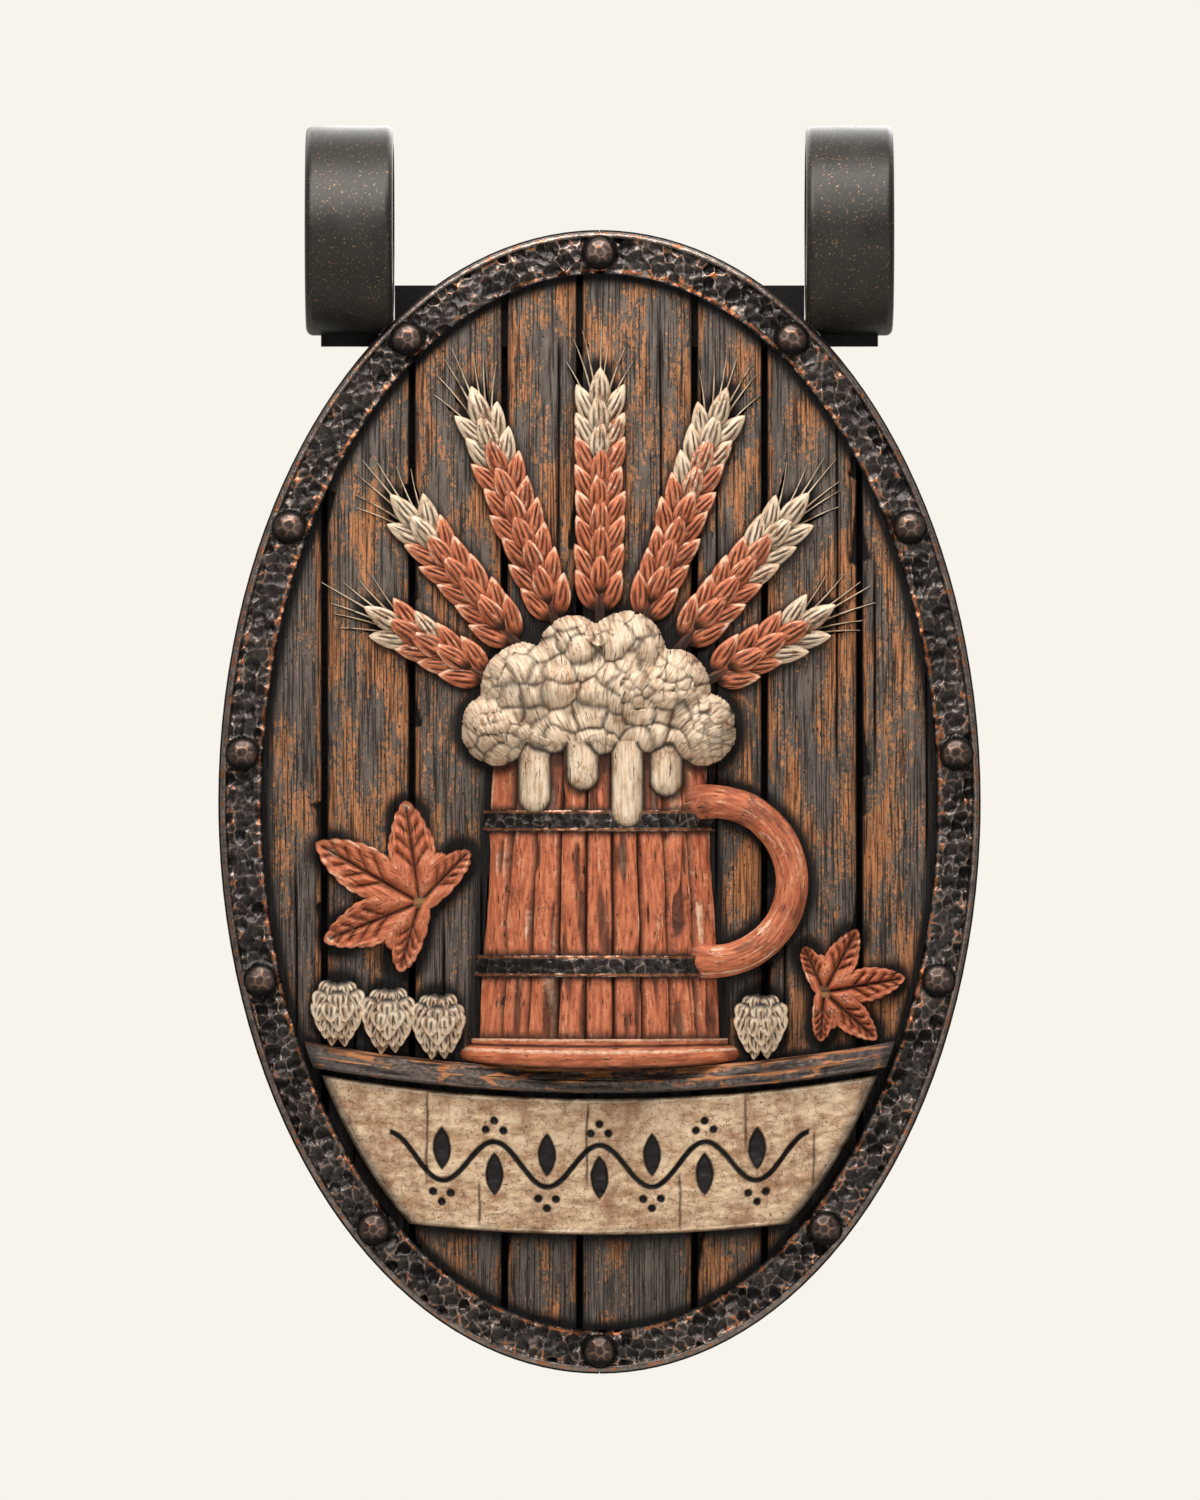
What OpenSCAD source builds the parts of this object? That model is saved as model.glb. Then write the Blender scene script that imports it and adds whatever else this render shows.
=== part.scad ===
// Hanging tavern sign: an oval of upright planks on level back boards, bound by a
// riveted iron rim, with a carved tankard, barley and hops above a banner. Two iron
// loops on a flat bar carry it, and it swings on off-centre bushes round a pole.
// X runs along the pole, the front faces -Y, and the pole's axis is the origin.

/* [Oval board] */
// Width of the sign across the oval, over the edge band
oval_w = 610; // [580:1:650]
// Height of the sign down the oval, over the edge band
oval_h = 915; // [880:1:960]
// Thickness of the upright front planks
plank_t = 28; // [24:1:34]
// Thickness of the level back boards
board_t = 24; // [20:1:30]
// Open joint between neighbouring front planks
plank_gap = 4.5; // [2:0.5:7]
// Open joint between neighbouring back boards
board_gap = 1.5; // [0.5:0.5:4]
// Places of the joints between the front planks, from the middle
plank_joints = [-220, -150, -76, -16, 76, 132, 208]; // seven joints, left to right
// Number of level back boards
board_count = 7; // [5:1:9]
// Distance of the plane between planks and boards behind the swing axis
joint_y = 7.6; // [0:0.1:16]

/* [Iron rim] */
// Width of the front and back rims
rim_w = 34; // [28:1:38]
// Thickness of the hammered front rim
rim_t = 10; // [7:0.5:13]
// Thickness of the plain back rim
back_rim_t = 6; // [4:0.5:9]
// Bevel on the front rim's inner edge
rim_bevel = 2; // [1:0.5:3]
// Distance from the edge band's face in to the rims' edges
rim_set_in = 1.5; // [0.5:0.5:2.5]
// Thickness of the iron band round the edge
band_t = 3; // [2:0.5:5]

/* [Rivets] */
// Diameter of a forged rivet head
rivet_head_d = 26; // [16:1:26]
// Height of a forged rivet head
rivet_head_h = 9; // [6:0.5:11]
// Diameter of a rivet shank
rivet_shank_d = 8; // [6:0.5:10]
// Diameter of the sunk seat round a rivet head
rivet_seat_d = 27; // [27:0.5:29]
// Depth of the sunk seat round a rivet head
rivet_seat_depth = 1.5; // [0.5:0.5:3]
// Diameter of the rove under a rivet tail
rove_d = 20; // [16:1:24]
// Thickness of the rove
rove_t = 2; // [1:0.5:4]
// Diameter of the hammered rivet tail
rivet_tail_d = 13; // [11:0.5:15]
// Height of the hammered rivet tail
rivet_tail_h = 4; // [3:0.5:6]

/* [Hanger] */
// Outer diameter of a hanger loop
loop_d = 168; // [158:1:176]
// Wall of a hanger loop
loop_wall = 14; // [10:0.5:18]
// Width of a hanger loop along the pole
loop_w = 70; // [60:1:80]
// Distance between the middles of the two loops
loop_spacing = 400; // [390:1:420]
// Rounding of a loop's outer edges
loop_edge_r = 6; // [2:0.5:9]
// Length of the hanger bar
bar_w = 446; // [436:1:470]
// Height of the hanger bar
bar_h = 48.8; // [42:0.1:56]
// Thickness of the hanger bar
bar_t = 16; // [12:0.5:20]
// Thickness of the bar's tongue under a loop
tongue_t = 8.8; // [6:0.1:12]
// Diameter of a loop rivet
loop_rivet_d = 10; // [8:0.5:12]
// Diameter of a loop rivet's sunk head
loop_rivet_head_d = 15; // [13:0.5:16]
// Distance between the two rivets of a loop
loop_rivet_spacing = 28; // [20:1:34]
// Diameter of a bar bolt
bolt_d = 8; // [6:0.5:10]
// Width of a bar bolt's square head
bolt_head_w = 15; // [12:0.5:18]
// Height of a bar bolt's square head
bolt_head_h = 6; // [4:0.5:8]
// Distance between neighbouring bar bolts
bolt_pitch = 54; // [44:1:58]

/* [Pole bushes] */
// Diameter of the bore that takes the pole
pole_bore_d = 50.5; // [44:0.1:52]
// Height of the pole's axis above the swing axis
pole_rise = 36; // [32:0.5:38]
// Length of a bush along the pole
bush_w = 66; // [56:1:70]
// Radial running clearance of a bush in its loop
bush_gap = 0.05; // [0.03:0.01:0.09]

/* [Ledge and banner] */
// Depth of the ledge's lower edge below the oval's centre, in the middle
ledge_drop = 233; // [224:1:240]
// Height of the ledge strip
ledge_h = 20; // [14:1:26]
// How far the ledge stands out from the planks
ledge_t = 22; // [16:1:28]
// Radius of the sagging curve of the ledge and the banner
sag_r = 1300; // [1000:10:2000]
// Gap between the ledge and the banner
banner_gap = 4; // [2:0.5:8]
// Height of the banner in the middle
banner_h = 109; // [96:1:114]
// Thickness of the banner board
banner_t = 14; // [12:0.5:18]
// Gap between the banner's ends and the rim
banner_end_gap = 8; // [5:0.5:14]
// Depth of the ornament cut into the banner
ornament_depth = 3; // [1:0.5:5]
// Length of one half wave of the ornament's stem
ornament_pitch = 42; // [36:1:46]
// Height of the ornament's wave from its middle line
ornament_rise = 17; // [10:1:20]
// Width of the ornament's stem
stem_w = 5; // [3:0.5:8]
// Length of an ornament leaf
bud_l = 36; // [24:1:40]
// Width of an ornament leaf
bud_w = 15; // [10:0.5:20]

/* [Tankard] */
// Height of the staved body
mug_h = 236; // [210:1:246]
// Width of the body at the foot
mug_bottom_w = 200; // [180:1:210]
// Width of the body at the lip
mug_top_w = 172; // [160:1:180]
// How far the body stands out from the planks at the foot
mug_relief = 38; // [30:1:44]
// Height of the foot
foot_h = 24; // [18:1:30]
// How far the foot stands out from the body
foot_out = 7; // [4:0.5:10]
// Height of a hoop
hoop_h = 17; // [12:0.5:24]
// Thickness of a hoop
hoop_t = 3; // [2:0.5:5]
// Height of the lower hoop's middle above the foot
lower_hoop_z = 58; // [40:1:76]
// Distance of the upper hoop's middle below the lip
upper_hoop_drop = 62; // [52:1:76]
// Radius of the handle's curve, at the middle of its bar
handle_r = 64; // [54:1:68]
// Diameter of the handle's bar
handle_d = 27; // [22:1:30]
// Height of the handle's lowest point above the foot
handle_lift = 48; // [44:1:60]
// Mean radius of a lump of foam
foam_r = 33; // [28:1:36]

/* [Barley and hops] */
// Number of barley ears
ear_count = 7; // [5:2:7]
// Angle between neighbouring ears
ear_step = 20; // [18:0.5:22]
// Reach of the middle ear from the lip's centre
ear_reach = 312; // [290:1:320]
// Distance of the ears' lower ends from the lip's centre
ear_start = 112; // [104:1:124]
// Length of a grain
grain_l = 36; // [30:1:40]
// Width of a grain
grain_w = 17; // [13:0.5:20]
// Distance between rows of grains along an ear
grain_pitch = 21; // [18:0.5:26]
// How far the ears stand out from the planks
ear_relief = 20; // [16:1:26]
// Length of the left hop leaf's middle lobe
left_leaf_l = 96; // [80:1:100]
// Length of the right hop leaf's middle lobe
right_leaf_l = 66; // [56:1:72]
// Thickness of a hop leaf
leaf_t = 15; // [12:0.5:20]
// Length of a hop cone
cone_l = 50; // [40:1:54]
// Diameter of a hop cone
cone_d = 36; // [28:1:38]

/* [Pegs and nails] */
// Width of a square peg behind the carving
peg_w = 9; // [7:0.5:11]
// Depth of a peg in the planks
peg_depth = 10; // [6:0.5:12]
// Depth of a peg in the carving
peg_grip = 8; // [5:0.5:9]
// Distance between neighbouring ledge pegs
ledge_peg_pitch = 100; // [80:1:110]
// Distance between the banner's two rows of pegs
banner_peg_spacing = 260; // [220:1:280]
// Diameter of a board nail
nail_d = 5; // [3.5:0.5:6]
// Width of a nail's head
nail_head_d = 12; // [9:0.5:15]
// Height of a nail's head
nail_head_h = 3; // [2:0.5:5]

/* [Hidden] */
$fn = 96;
// Clearance between pieces that are fitted to each other
fit_gap = 0.2;
// Overlap of a cutting shape past the face that it cuts
past = 1;
far = oval_h;
// Half of the joint where the two halves of a rim or band meet
half_gap = 0.25;
// Overlap of one tier of a hop cone with the next
tier_overlap = 0.6;

side_names = ["left", "right"];
sides = [-1, 1];
side_pieces = ["back_rim", "edge_band", "hanger_loop", "pole_bush"];
rivet_angles = [90, 122.5, 150, 175, 199, 231, 270];
all_rivet_angles = concat(rivet_angles, [for (i = [1 : 5]) 180 - rivet_angles[i]]);

loop_r = loop_d / 2;
bore_r = loop_r - loop_wall;
loop_z = -pole_rise;
oval_z = loop_z - oval_h / 2;
plank_y = joint_y - plank_t;
board_back = joint_y + board_t;
wood_inset = band_t + fit_gap;
field_w = oval_w - 2 * (rim_set_in + rim_w);
field_h = oval_h - 2 * (rim_set_in + rim_w);
rivet_line_w = field_w + rim_w;
rivet_line_h = field_h + rim_w;
rivet_points = [for (a = all_rivet_angles) on_oval(rivet_line_w, rivet_line_h, a)];

bar_bottom = loop_z - loop_r - tongue_t;
bar_mid = bar_bottom + bar_h / 2;
bolt_xs = [for (i = [-1.5 : 1 : 1.5]) i * bolt_pitch];
rivet_sink = 0.5;
bar_keep_out = bar_h / 2 + nail_head_d;

plank_edges = concat([-oval_w / 2], plank_joints, [oval_w / 2]);
plank_count = len(plank_edges) - 1;
board_h = (oval_h - 2 * wood_inset) / board_count;
nail_margin = rim_w + rim_set_in + nail_head_d;
nail_spots = [
    for (i = [1 : plank_count], j = [1 : board_count])
        if ((i + j) % 2 == 0) [plank_mid(i), board_mid(j)]
];
nail_points = [for (p = nail_spots) if (in_oval(p, nail_margin) && !on_bar(p)) p];
// Wood left between a peg's hole and a nail's tip
nail_stop = 2;
nail_grip = plank_t - peg_depth - nail_stop;

ledge_low = -ledge_drop;
ledge_top = ledge_low + ledge_h;
banner_top = ledge_low - banner_gap;
banner_low = banner_top - banner_h;
half_waves = 8;
stem_steps = 6;

// The body is part of a cone whose axis lies behind the planks' face
mug_r1 = (pow(mug_bottom_w / 2, 2) + pow(mug_relief, 2)) / (2 * mug_relief);
mug_sink = mug_r1 - mug_relief;
mug_r2 = sqrt(pow(mug_top_w / 2, 2) + pow(mug_sink, 2));
mug_foot = ledge_top + foot_h;
mug_lip = mug_foot + mug_h;
// The handle's centre beyond the lip's side, its start inside that centre, and its depth on the planks
handle_out = 4;
handle_bite = 14;
handle_depth = 9;
handle_x = mug_top_w / 2 + handle_out;
handle_v = mug_foot + handle_lift + handle_r + handle_d / 2;

// Foam lumps: place across, height above the lip, and size, in shares of the mean lump
foam_lumps = [
    for (i = [-2 : 2]) [i * 1.22, 0.35, 0.95 + 0.07 * cos(i * 140)],
    for (i = [-1.5 : 1 : 1.5]) [i * 1.2, 1.35, 1.05 + 0.08 * sin(i * 170)],
    for (i = [-0.5 : 1 : 0.5]) [i * 1.3, 2.25, 0.95 + 0.1 * i],
];
// Runs of foam over the lip: place across and length, in the same shares
foam_runs = [[-1.75, 1.3], [-0.45, 0.75], [0.75, 1.65], [1.8, 0.9]];

ear_numbers = [1 : ear_count];
// A hop leaf's lobes: the angle from each to the next, and their lengths in shares of the middle one
leaf_lobe_step = 52;
leaf_turns = [for (i = [-2 : 2]) i * leaf_lobe_step];
leaf_lobes = [0.6, 0.86, 1, 0.86, 0.6];
leaf_notch = 0.42;
leaf_shoulder = 0.74;
leaf_shoulder_turn = 13;
leaf_stalk = 0.1;
left_leaf_turn = -60;
right_leaf_turn = 80;
// A hop cone's tiers: their widths from the tip up, in shares of the widest
cone_tiers = [0.42, 0.78, 1, 0.96, 0.7];
hop_gap = 4;
// Room from the foot's side to the first cone's middle, and from the body's side to the left leaf's stalk
cone_room = 22;
leaf_room = 44;
cone_step = cone_d + hop_gap;
first_cone_x = mug_bottom_w / 2 + foot_out + cone_room;
cone_xs = concat([for (i = [0 : 2]) -first_cone_x - i * cone_step], [first_cone_x]);
cones = [for (x = cone_xs) [x, sag_line(ledge_top, x) + hop_gap]];
left_leaf_x = -mug_bottom_w / 2 - leaf_room;
left_leaf_at = [left_leaf_x, cones[2][1] + cone_l + hop_gap + leaf_lobes[0] * left_leaf_l];
right_leaf_x = handle_x + handle_r + handle_d / 2 + 3 * hop_gap;
right_leaf_at = [right_leaf_x, leaf_rest(right_leaf_x, right_leaf_turn, right_leaf_l)];

mug_pegs = [[0, mug_foot + mug_h / 4], [0, mug_lip - mug_h / 4]];
foam_pegs = [[-foam_r, mug_lip + foam_r], [foam_r, mug_lip + foam_r]];
hop_pegs = [for (c = cones) [c[0], c[1] + cone_l / 2]];
leaf_pegs = [left_leaf_at, right_leaf_at];
handle_peg = [[handle_x + handle_r, handle_v]];
ear_pegs = [for (i = ear_numbers) ear_point(i, ear_start + 2.2 * grain_pitch)];
carving_peg_points = concat(mug_pegs, foam_pegs, hop_pegs, leaf_pegs, handle_peg, ear_pegs);
ledge_peg_xs = [for (i = [-1.5 : 1 : 1.5]) i * ledge_peg_pitch];
ledge_peg_points = [for (x = ledge_peg_xs) [x, sag_line(ledge_low + ledge_h / 2, x)]];
banner_peg_xs = [-banner_peg_spacing / 2, banner_peg_spacing / 2];
banner_peg_points = [for (x = banner_peg_xs, v = [0.25, 0.75]) [x, sag_line(banner_low + v * banner_h, x)]];
trim_peg_points = concat(ledge_peg_points, banner_peg_points);
peg_points = concat(carving_peg_points, trim_peg_points);

iron = [0.22, 0.19, 0.17];
dark_iron = [0.15, 0.14, 0.12];
bronze_iron = [0.30, 0.28, 0.25];
charcoal_wood = [0.36, 0.29, 0.24];
bare_wood = [0.45, 0.32, 0.22];
russet = [0.69, 0.39, 0.26];
cream = [0.80, 0.71, 0.61];
banner_cream = [0.74, 0.62, 0.50];
bush_wood = [0.52, 0.37, 0.22];

function on_oval(w, h, angle) = [w / 2 * cos(angle), h / 2 * sin(angle)];
function in_oval(p, margin) = pow(p[0] / (oval_w / 2 - margin), 2) + pow(p[1] / (oval_h / 2 - margin), 2) < 1;
function on_bar(p) = abs(p[1] + oval_z - bar_mid) < bar_keep_out;
function plank_mid(i) = (plank_edges[i - 1] + plank_edges[i]) / 2;
function board_mid(j) = oval_h / 2 - wood_inset - (j - 0.5) * board_h;
// Height of the sagging line that crosses the middle at v, at a distance x from the middle
function sag_line(v, x) = v + sag_r - sqrt(pow(sag_r, 2) - pow(x, 2));
// A lobe's tip from a leaf's stalk, and the height at which a leaf's lobes clear the ledge
function lobe_tip(i, turn, l) = l * leaf_lobes[i] * [sin(turn + leaf_turns[i]), cos(turn + leaf_turns[i])];
function leaf_rest(x, turn, l) = hop_gap + max(
    [for (i = [0 : 4]) sag_line(ledge_top, x + lobe_tip(i, turn, l)[0]) - lobe_tip(i, turn, l)[1]]
);
function mug_r(z) = mug_r1 + (mug_r2 - mug_r1) * z / mug_h;
function ear_turn(i) = (i - (ear_count + 1) / 2) * ear_step;
function ear_point(i, r) = [r * sin(ear_turn(i)), mug_lip + r * cos(ear_turn(i))];
// The outer ears are shorter, so that the fan follows the oval
function ear_end(i) = ear_reach * (1 - 0.28 * pow(ear_turn(i) / 60, 2));

module oval(w, h) {
    scale([w / h, 1])
        circle(d = h);
}

// A flat shape drawn on the sign's face, given a thickness towards the back
module slab(y, t) {
    translate([0, y + t, oval_z])
        rotate([90, 0, 0])
            linear_extrude(t)
                children();
}

// A taper of the rims' inner oval: h_back high at the back and h_front at the front
module oval_taper(y, t, h_back, h_front) {
    translate([0, y + t, oval_z])
        rotate([90, 0, 0])
            scale([field_w / field_h, 1, 1])
                cylinder(h = t, d1 = h_back, d2 = h_front);
}

module along_x(x, y, z, d, length) {
    translate([x - length / 2, y, z])
        rotate([0, 90, 0])
            cylinder(h = length, d = d);
}

// A pin or a hole square to the sign's face
module along_y(p, y, d, length) {
    translate([p[0], y, p[1] + oval_z])
        rotate([-90, 0, 0])
            cylinder(h = length, d = d);
}

module square_peg(p, y, w, length) {
    translate([p[0] - w / 2, y, p[1] + oval_z - w / 2])
        cube([w, length, w]);
}

// Everything in front of the planks' face
module relief_space() {
    translate([-far, plank_y - far, oval_z - far])
        cube([2 * far, far, 2 * far]);
}

// The space on the planks above the ledge's sagging top
module above_ledge() {
    translate([0, plank_y + past, oval_z + ledge_low + sag_r])
        rotate([90, 0, 0])
            cylinder(h = far, r = sag_r - ledge_h - fit_gap, $fn = 360);
}

module peg_holes(points, x0 = -far, x1 = far) {
    hole_w = peg_w + 2 * fit_gap;
    hole_l = peg_grip + peg_depth + 2 * fit_gap;
    for (p = points)
        if (p[0] > x0 - peg_w && p[0] < x1 + peg_w)
            square_peg(p, plank_y - peg_grip - fit_gap, hole_w, hole_l);
}

module rivet_holes(x0 = -far, x1 = far) {
    for (p = rivet_points)
        if (p[0] > x0 - rivet_shank_d && p[0] < x1 + rivet_shank_d)
            along_y(p, plank_y - rim_t - past, rivet_shank_d + 2 * fit_gap, far);
}

module nail_holes(x0 = -far, x1 = far) {
    for (p = nail_points)
        if (p[0] > x0 - nail_d && p[0] < x1 + nail_d)
            along_y(p, joint_y - nail_grip - fit_gap, nail_d + 2 * fit_gap, far);
}

module bolt_holes() {
    for (x = bolt_xs)
        along_y([x, bar_mid - oval_z], joint_y - bar_t - past, bolt_d + 2 * fit_gap, far);
}

// The bar's own box, grown by gap on its sides and by back behind it
module bar_box(gap, back) {
    translate([-bar_w / 2 - gap, joint_y - bar_t - gap, bar_bottom - gap])
        cube([bar_w + 2 * gap, bar_t + gap + back, bar_h + 2 * gap]);
}

module front_plank(i) {
    left = plank_edges[i - 1] + plank_gap / 2;
    right = plank_edges[i] - plank_gap / 2;
    color(charcoal_wood)
        difference() {
            slab(plank_y, plank_t)
                intersection() {
                    oval(oval_w - 2 * wood_inset, oval_h - 2 * wood_inset);
                    translate([left, -oval_h / 2])
                        square([right - left, oval_h]);
                }
            bar_box(fit_gap, past);
            rivet_holes(left, right);
            nail_holes(left, right);
            peg_holes(peg_points, left, right);
        }
}

module back_board(j) {
    color(bare_wood)
        difference() {
            slab(joint_y, board_t)
                intersection() {
                    oval(oval_w - 2 * wood_inset, oval_h - 2 * wood_inset);
                    translate([-oval_w / 2, board_mid(j) - board_h / 2 + board_gap / 2])
                        square([oval_w, board_h - board_gap]);
                }
            rivet_holes();
            nail_holes();
            bolt_holes();
        }
}

// The right half of a ring round the sign's face, turned over for the left
module half_ring(side, w, h, width, gap) {
    mirror([side > 0 ? 0 : 1, 0])
        difference() {
            intersection() {
                oval(w, h);
                translate([gap, -h / 2])
                    square([w, h]);
            }
            oval(w - 2 * width, h - 2 * width);
        }
}

// Two welded halves lie flat on the planks, with the inner edge bevelled and a sunk seat for each rivet
module front_rim() {
    face = plank_y - rim_t;
    reach = rim_bevel + past;
    color(iron)
        difference() {
            slab(face, rim_t)
                for (side = sides)
                    half_ring(side, field_w + 2 * rim_w, field_h + 2 * rim_w, rim_w, 0);
            oval_taper(face - past, reach + past, field_h - 2 * past, field_h + 2 * reach);
            rivet_holes();
            for (p = rivet_points)
                along_y(p, face - past, rivet_seat_d, rivet_seat_depth + past);
        }
}

// The back rim is two half rings that meet at the top and the bottom
module back_rim(side) {
    color(iron)
        difference() {
            slab(board_back, back_rim_t)
                half_ring(side, field_w + 2 * rim_w, field_h + 2 * rim_w, rim_w, half_gap);
            rivet_holes();
        }
}

// The edge band is two straps that meet at the top and the bottom, slotted for the bar
module edge_band(side) {
    color(dark_iron)
        difference() {
            slab(plank_y, plank_t + board_t)
                half_ring(side, oval_w, oval_h, band_t, half_gap);
            bar_box(fit_gap, fit_gap);
        }
}

// A low dome: the cap of a sphere, on the face at y, rising towards -Y or +Y
module dome(p, y, d, h, way) {
    r = (d * d / 4 + h * h) / (2 * h);
    intersection() {
        translate([p[0], y - way * (r - h), p[1] + oval_z])
            sphere(r = r);
        along_y(p, way > 0 ? y : y - h, d, h);
    }
}

module rim_rivets() {
    head_y = plank_y - rim_t + rivet_seat_depth;
    tail_y = board_back + back_rim_t + rove_t;
    color(bronze_iron)
        for (p = rivet_points) {
            dome(p, head_y, rivet_head_d, rivet_head_h, -1);
            along_y(p, head_y, rivet_shank_d, tail_y - head_y);
            dome(p, tail_y, rivet_tail_d, rivet_tail_h, 1);
        }
}

module rivet_roves() {
    color(bronze_iron)
        for (p = rivet_points)
            difference() {
                along_y(p, board_back + back_rim_t, rove_d, rove_t);
                along_y(p, board_back, rivet_shank_d + 2 * fit_gap, far);
            }
}

module loop_profile() {
    half = loop_w / 2;
    translate([bore_r, -half])
        square([loop_wall - loop_edge_r, loop_w]);
    translate([bore_r, -half + loop_edge_r])
        square([loop_wall, loop_w - 2 * loop_edge_r]);
    for (y = [-half + loop_edge_r, half - loop_edge_r])
        translate([loop_r - loop_edge_r, y])
            circle(r = loop_edge_r);
}

module loop_rivet_places(side) {
    for (i = [-0.5, 0.5])
        translate([side * loop_spacing / 2 + i * loop_rivet_spacing, joint_y - bar_t / 2, loop_z])
            children();
}

module loop_rivet(gap) {
    top = -bore_r - rivet_sink;
    bottom = bar_bottom - loop_z;
    sink = (loop_rivet_head_d - loop_rivet_d) / 2;
    translate([0, 0, bottom])
        cylinder(h = top - bottom, d = loop_rivet_d + 2 * gap);
    translate([0, 0, top - sink])
        cylinder(h = sink, d1 = loop_rivet_d + 2 * gap, d2 = loop_rivet_head_d + 2 * gap);
}

// The loop's inner corner is cut back where the oval passes in front of it
module hanger_loop(side) {
    color(bronze_iron)
        difference() {
            translate([side * loop_spacing / 2, 0, loop_z])
                rotate([0, 90, 0])
                    rotate_extrude()
                        loop_profile();
            slab(-loop_d, 2 * loop_d)
                oval(oval_w + 2 * past, oval_h + 2 * past);
            loop_rivet_places(side) {
                loop_rivet(fit_gap);
                translate([0, 0, -bore_r - rivet_sink - fit_gap])
                    cylinder(h = loop_wall, d = loop_rivet_head_d + 2 * fit_gap);
            }
        }
}

module loop_rivets() {
    color(dark_iron)
        for (side = sides)
            loop_rivet_places(side)
                loop_rivet(0);
}

// The bar's ends are cut down to tongues that the loops stand on
module hanger_bar() {
    color(dark_iron)
        difference() {
            bar_box(0, 0);
            for (side = sides) {
                along_x(side * loop_spacing / 2, 0, loop_z, loop_d + 2 * fit_gap, loop_w + 2 * past);
                loop_rivet_places(side)
                    loop_rivet(fit_gap);
            }
            rivet_holes();
            bolt_holes();
        }
}

module bar_bolts() {
    tip_y = joint_y - bar_t + past;
    color(dark_iron)
        for (x = bolt_xs) {
            along_y([x, bar_mid - oval_z], tip_y, bolt_d, board_back - tip_y);
            square_peg([x, bar_mid - oval_z], board_back, bolt_head_w, bolt_head_h);
        }
}

module board_nails() {
    color(dark_iron)
        for (p = nail_points) {
            along_y(p, joint_y - nail_grip, nail_d, board_back - joint_y + nail_grip);
            dome(p, board_back, nail_head_d, nail_head_h, 1);
        }
}

// The pole's bore lies above the disc's own axis, so the pole clears the oval's top
module pole_bush(side) {
    color(bush_wood)
        difference() {
            along_x(side * loop_spacing / 2, 0, loop_z, 2 * (bore_r - bush_gap), bush_w);
            along_x(side * loop_spacing / 2, 0, 0, pole_bore_d, bush_w + 2 * past);
        }
}

// The strip between two sagging lines, ending short of the rim
module sagging_strip(top, low, end_gap) {
    intersection() {
        difference() {
            translate([0, low + sag_r])
                circle(r = sag_r, $fn = 720);
            translate([0, top + sag_r])
                circle(r = sag_r, $fn = 720);
        }
        oval(field_w - 2 * end_gap, field_h - 2 * end_gap);
        translate([-oval_w / 2, -oval_h / 2])
            square([oval_w, oval_h / 2]);
    }
}

module banner_ledge() {
    color(bare_wood)
        difference() {
            slab(plank_y - ledge_t, ledge_t)
                sagging_strip(ledge_top, ledge_low, banner_end_gap / 2);
            peg_holes(ledge_peg_points);
        }
}

// A pointed leaf between two arcs
module bud(l, w) {
    r = (l * l / 4 + w * w / 4) / w;
    intersection() {
        translate([r - w / 2, l / 2])
            circle(r = r);
        translate([w / 2 - r, l / 2])
            circle(r = r);
    }
}

// A wavy stem with a leaf in each hollow
module banner_ornament() {
    half_l = half_waves * ornament_pitch / 2;
    middle = (banner_top + banner_low) / 2;
    xs = [for (i = [0 : half_waves * stem_steps]) -half_l + i * ornament_pitch / stem_steps];
    line = [for (x = xs) [x, sag_line(middle, x) + ornament_rise * cos(180 * (x + half_l) / ornament_pitch)]];
    polygon(concat(
        [for (p = line) p + [0, stem_w / 2]],
        [for (i = [len(line) - 1 : -1 : 0]) line[i] - [0, stem_w / 2]]
    ));
    for (i = [1 : half_waves - 1]) {
        x = -half_l + i * ornament_pitch;
        up = i % 2 == 0 ? -1 : 1;
        translate([x, sag_line(middle, x) - up * ornament_rise * 0.55])
            rotate(up > 0 ? 0 : 180)
                bud(bud_l, bud_w);
    }
}

module banner_board() {
    color(banner_cream)
        difference() {
            slab(plank_y - banner_t, banner_t)
                sagging_strip(banner_top, banner_low, banner_end_gap);
            slab(plank_y - banner_t - past, ornament_depth + past)
                banner_ornament();
            peg_holes(banner_peg_points);
        }
}

module pegs(points) {
    for (p = points)
        square_peg(p, plank_y - peg_grip, peg_w, peg_grip + peg_depth);
}

module banner_pegs() {
    color(bare_wood)
        pegs(trim_peg_points);
}

module carving_pegs() {
    color(bare_wood)
        pegs(carving_peg_points);
}

// A slice of the tankard's cone, grown outwards, between two heights above the foot
module mug_slice(z0, z1, grow) {
    translate([0, plank_y + mug_sink, oval_z + mug_foot + z0])
        cylinder(h = z1 - z0, r1 = mug_r(z0) + grow, r2 = mug_r(z1) + grow);
}

module tankard_body() {
    color(russet)
        difference() {
            intersection() {
                mug_slice(0, mug_h, 0);
                relief_space();
            }
            peg_holes(mug_pegs);
        }
}

module tankard_foot() {
    color(russet)
        intersection() {
            mug_slice(-foot_h, -fit_gap, foot_out);
            relief_space();
            above_ledge();
        }
}

module mug_hoop(middle) {
    low = middle - hoop_h / 2;
    high = middle + hoop_h / 2;
    intersection() {
        difference() {
            mug_slice(low, high, hoop_t);
            mug_slice(low - past, high + past, fit_gap);
        }
        relief_space();
    }
}

module lower_hoop() {
    color(iron)
        mug_hoop(lower_hoop_z);
}

module upper_hoop() {
    color(iron)
        mug_hoop(mug_h - upper_hoop_drop);
}

// The part of the handle's ring that stands clear of the body's side, grown outwards
module handle_ring(grow) {
    intersection() {
        translate([handle_x, plank_y - handle_depth, oval_z + handle_v])
            rotate([90, 0, 0])
                rotate_extrude()
                    translate([handle_r, 0])
                        circle(d = handle_d + 2 * grow);
        translate([handle_x - handle_bite - grow, plank_y - far, oval_z - far])
            cube([far, 2 * far, 2 * far]);
    }
}

module tankard_handle() {
    color(russet)
        difference() {
            intersection() {
                handle_ring(0);
                relief_space();
            }
            mug_slice(-foot_h, mug_h, hoop_t + fit_gap);
            peg_holes(handle_peg);
        }
}

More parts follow.
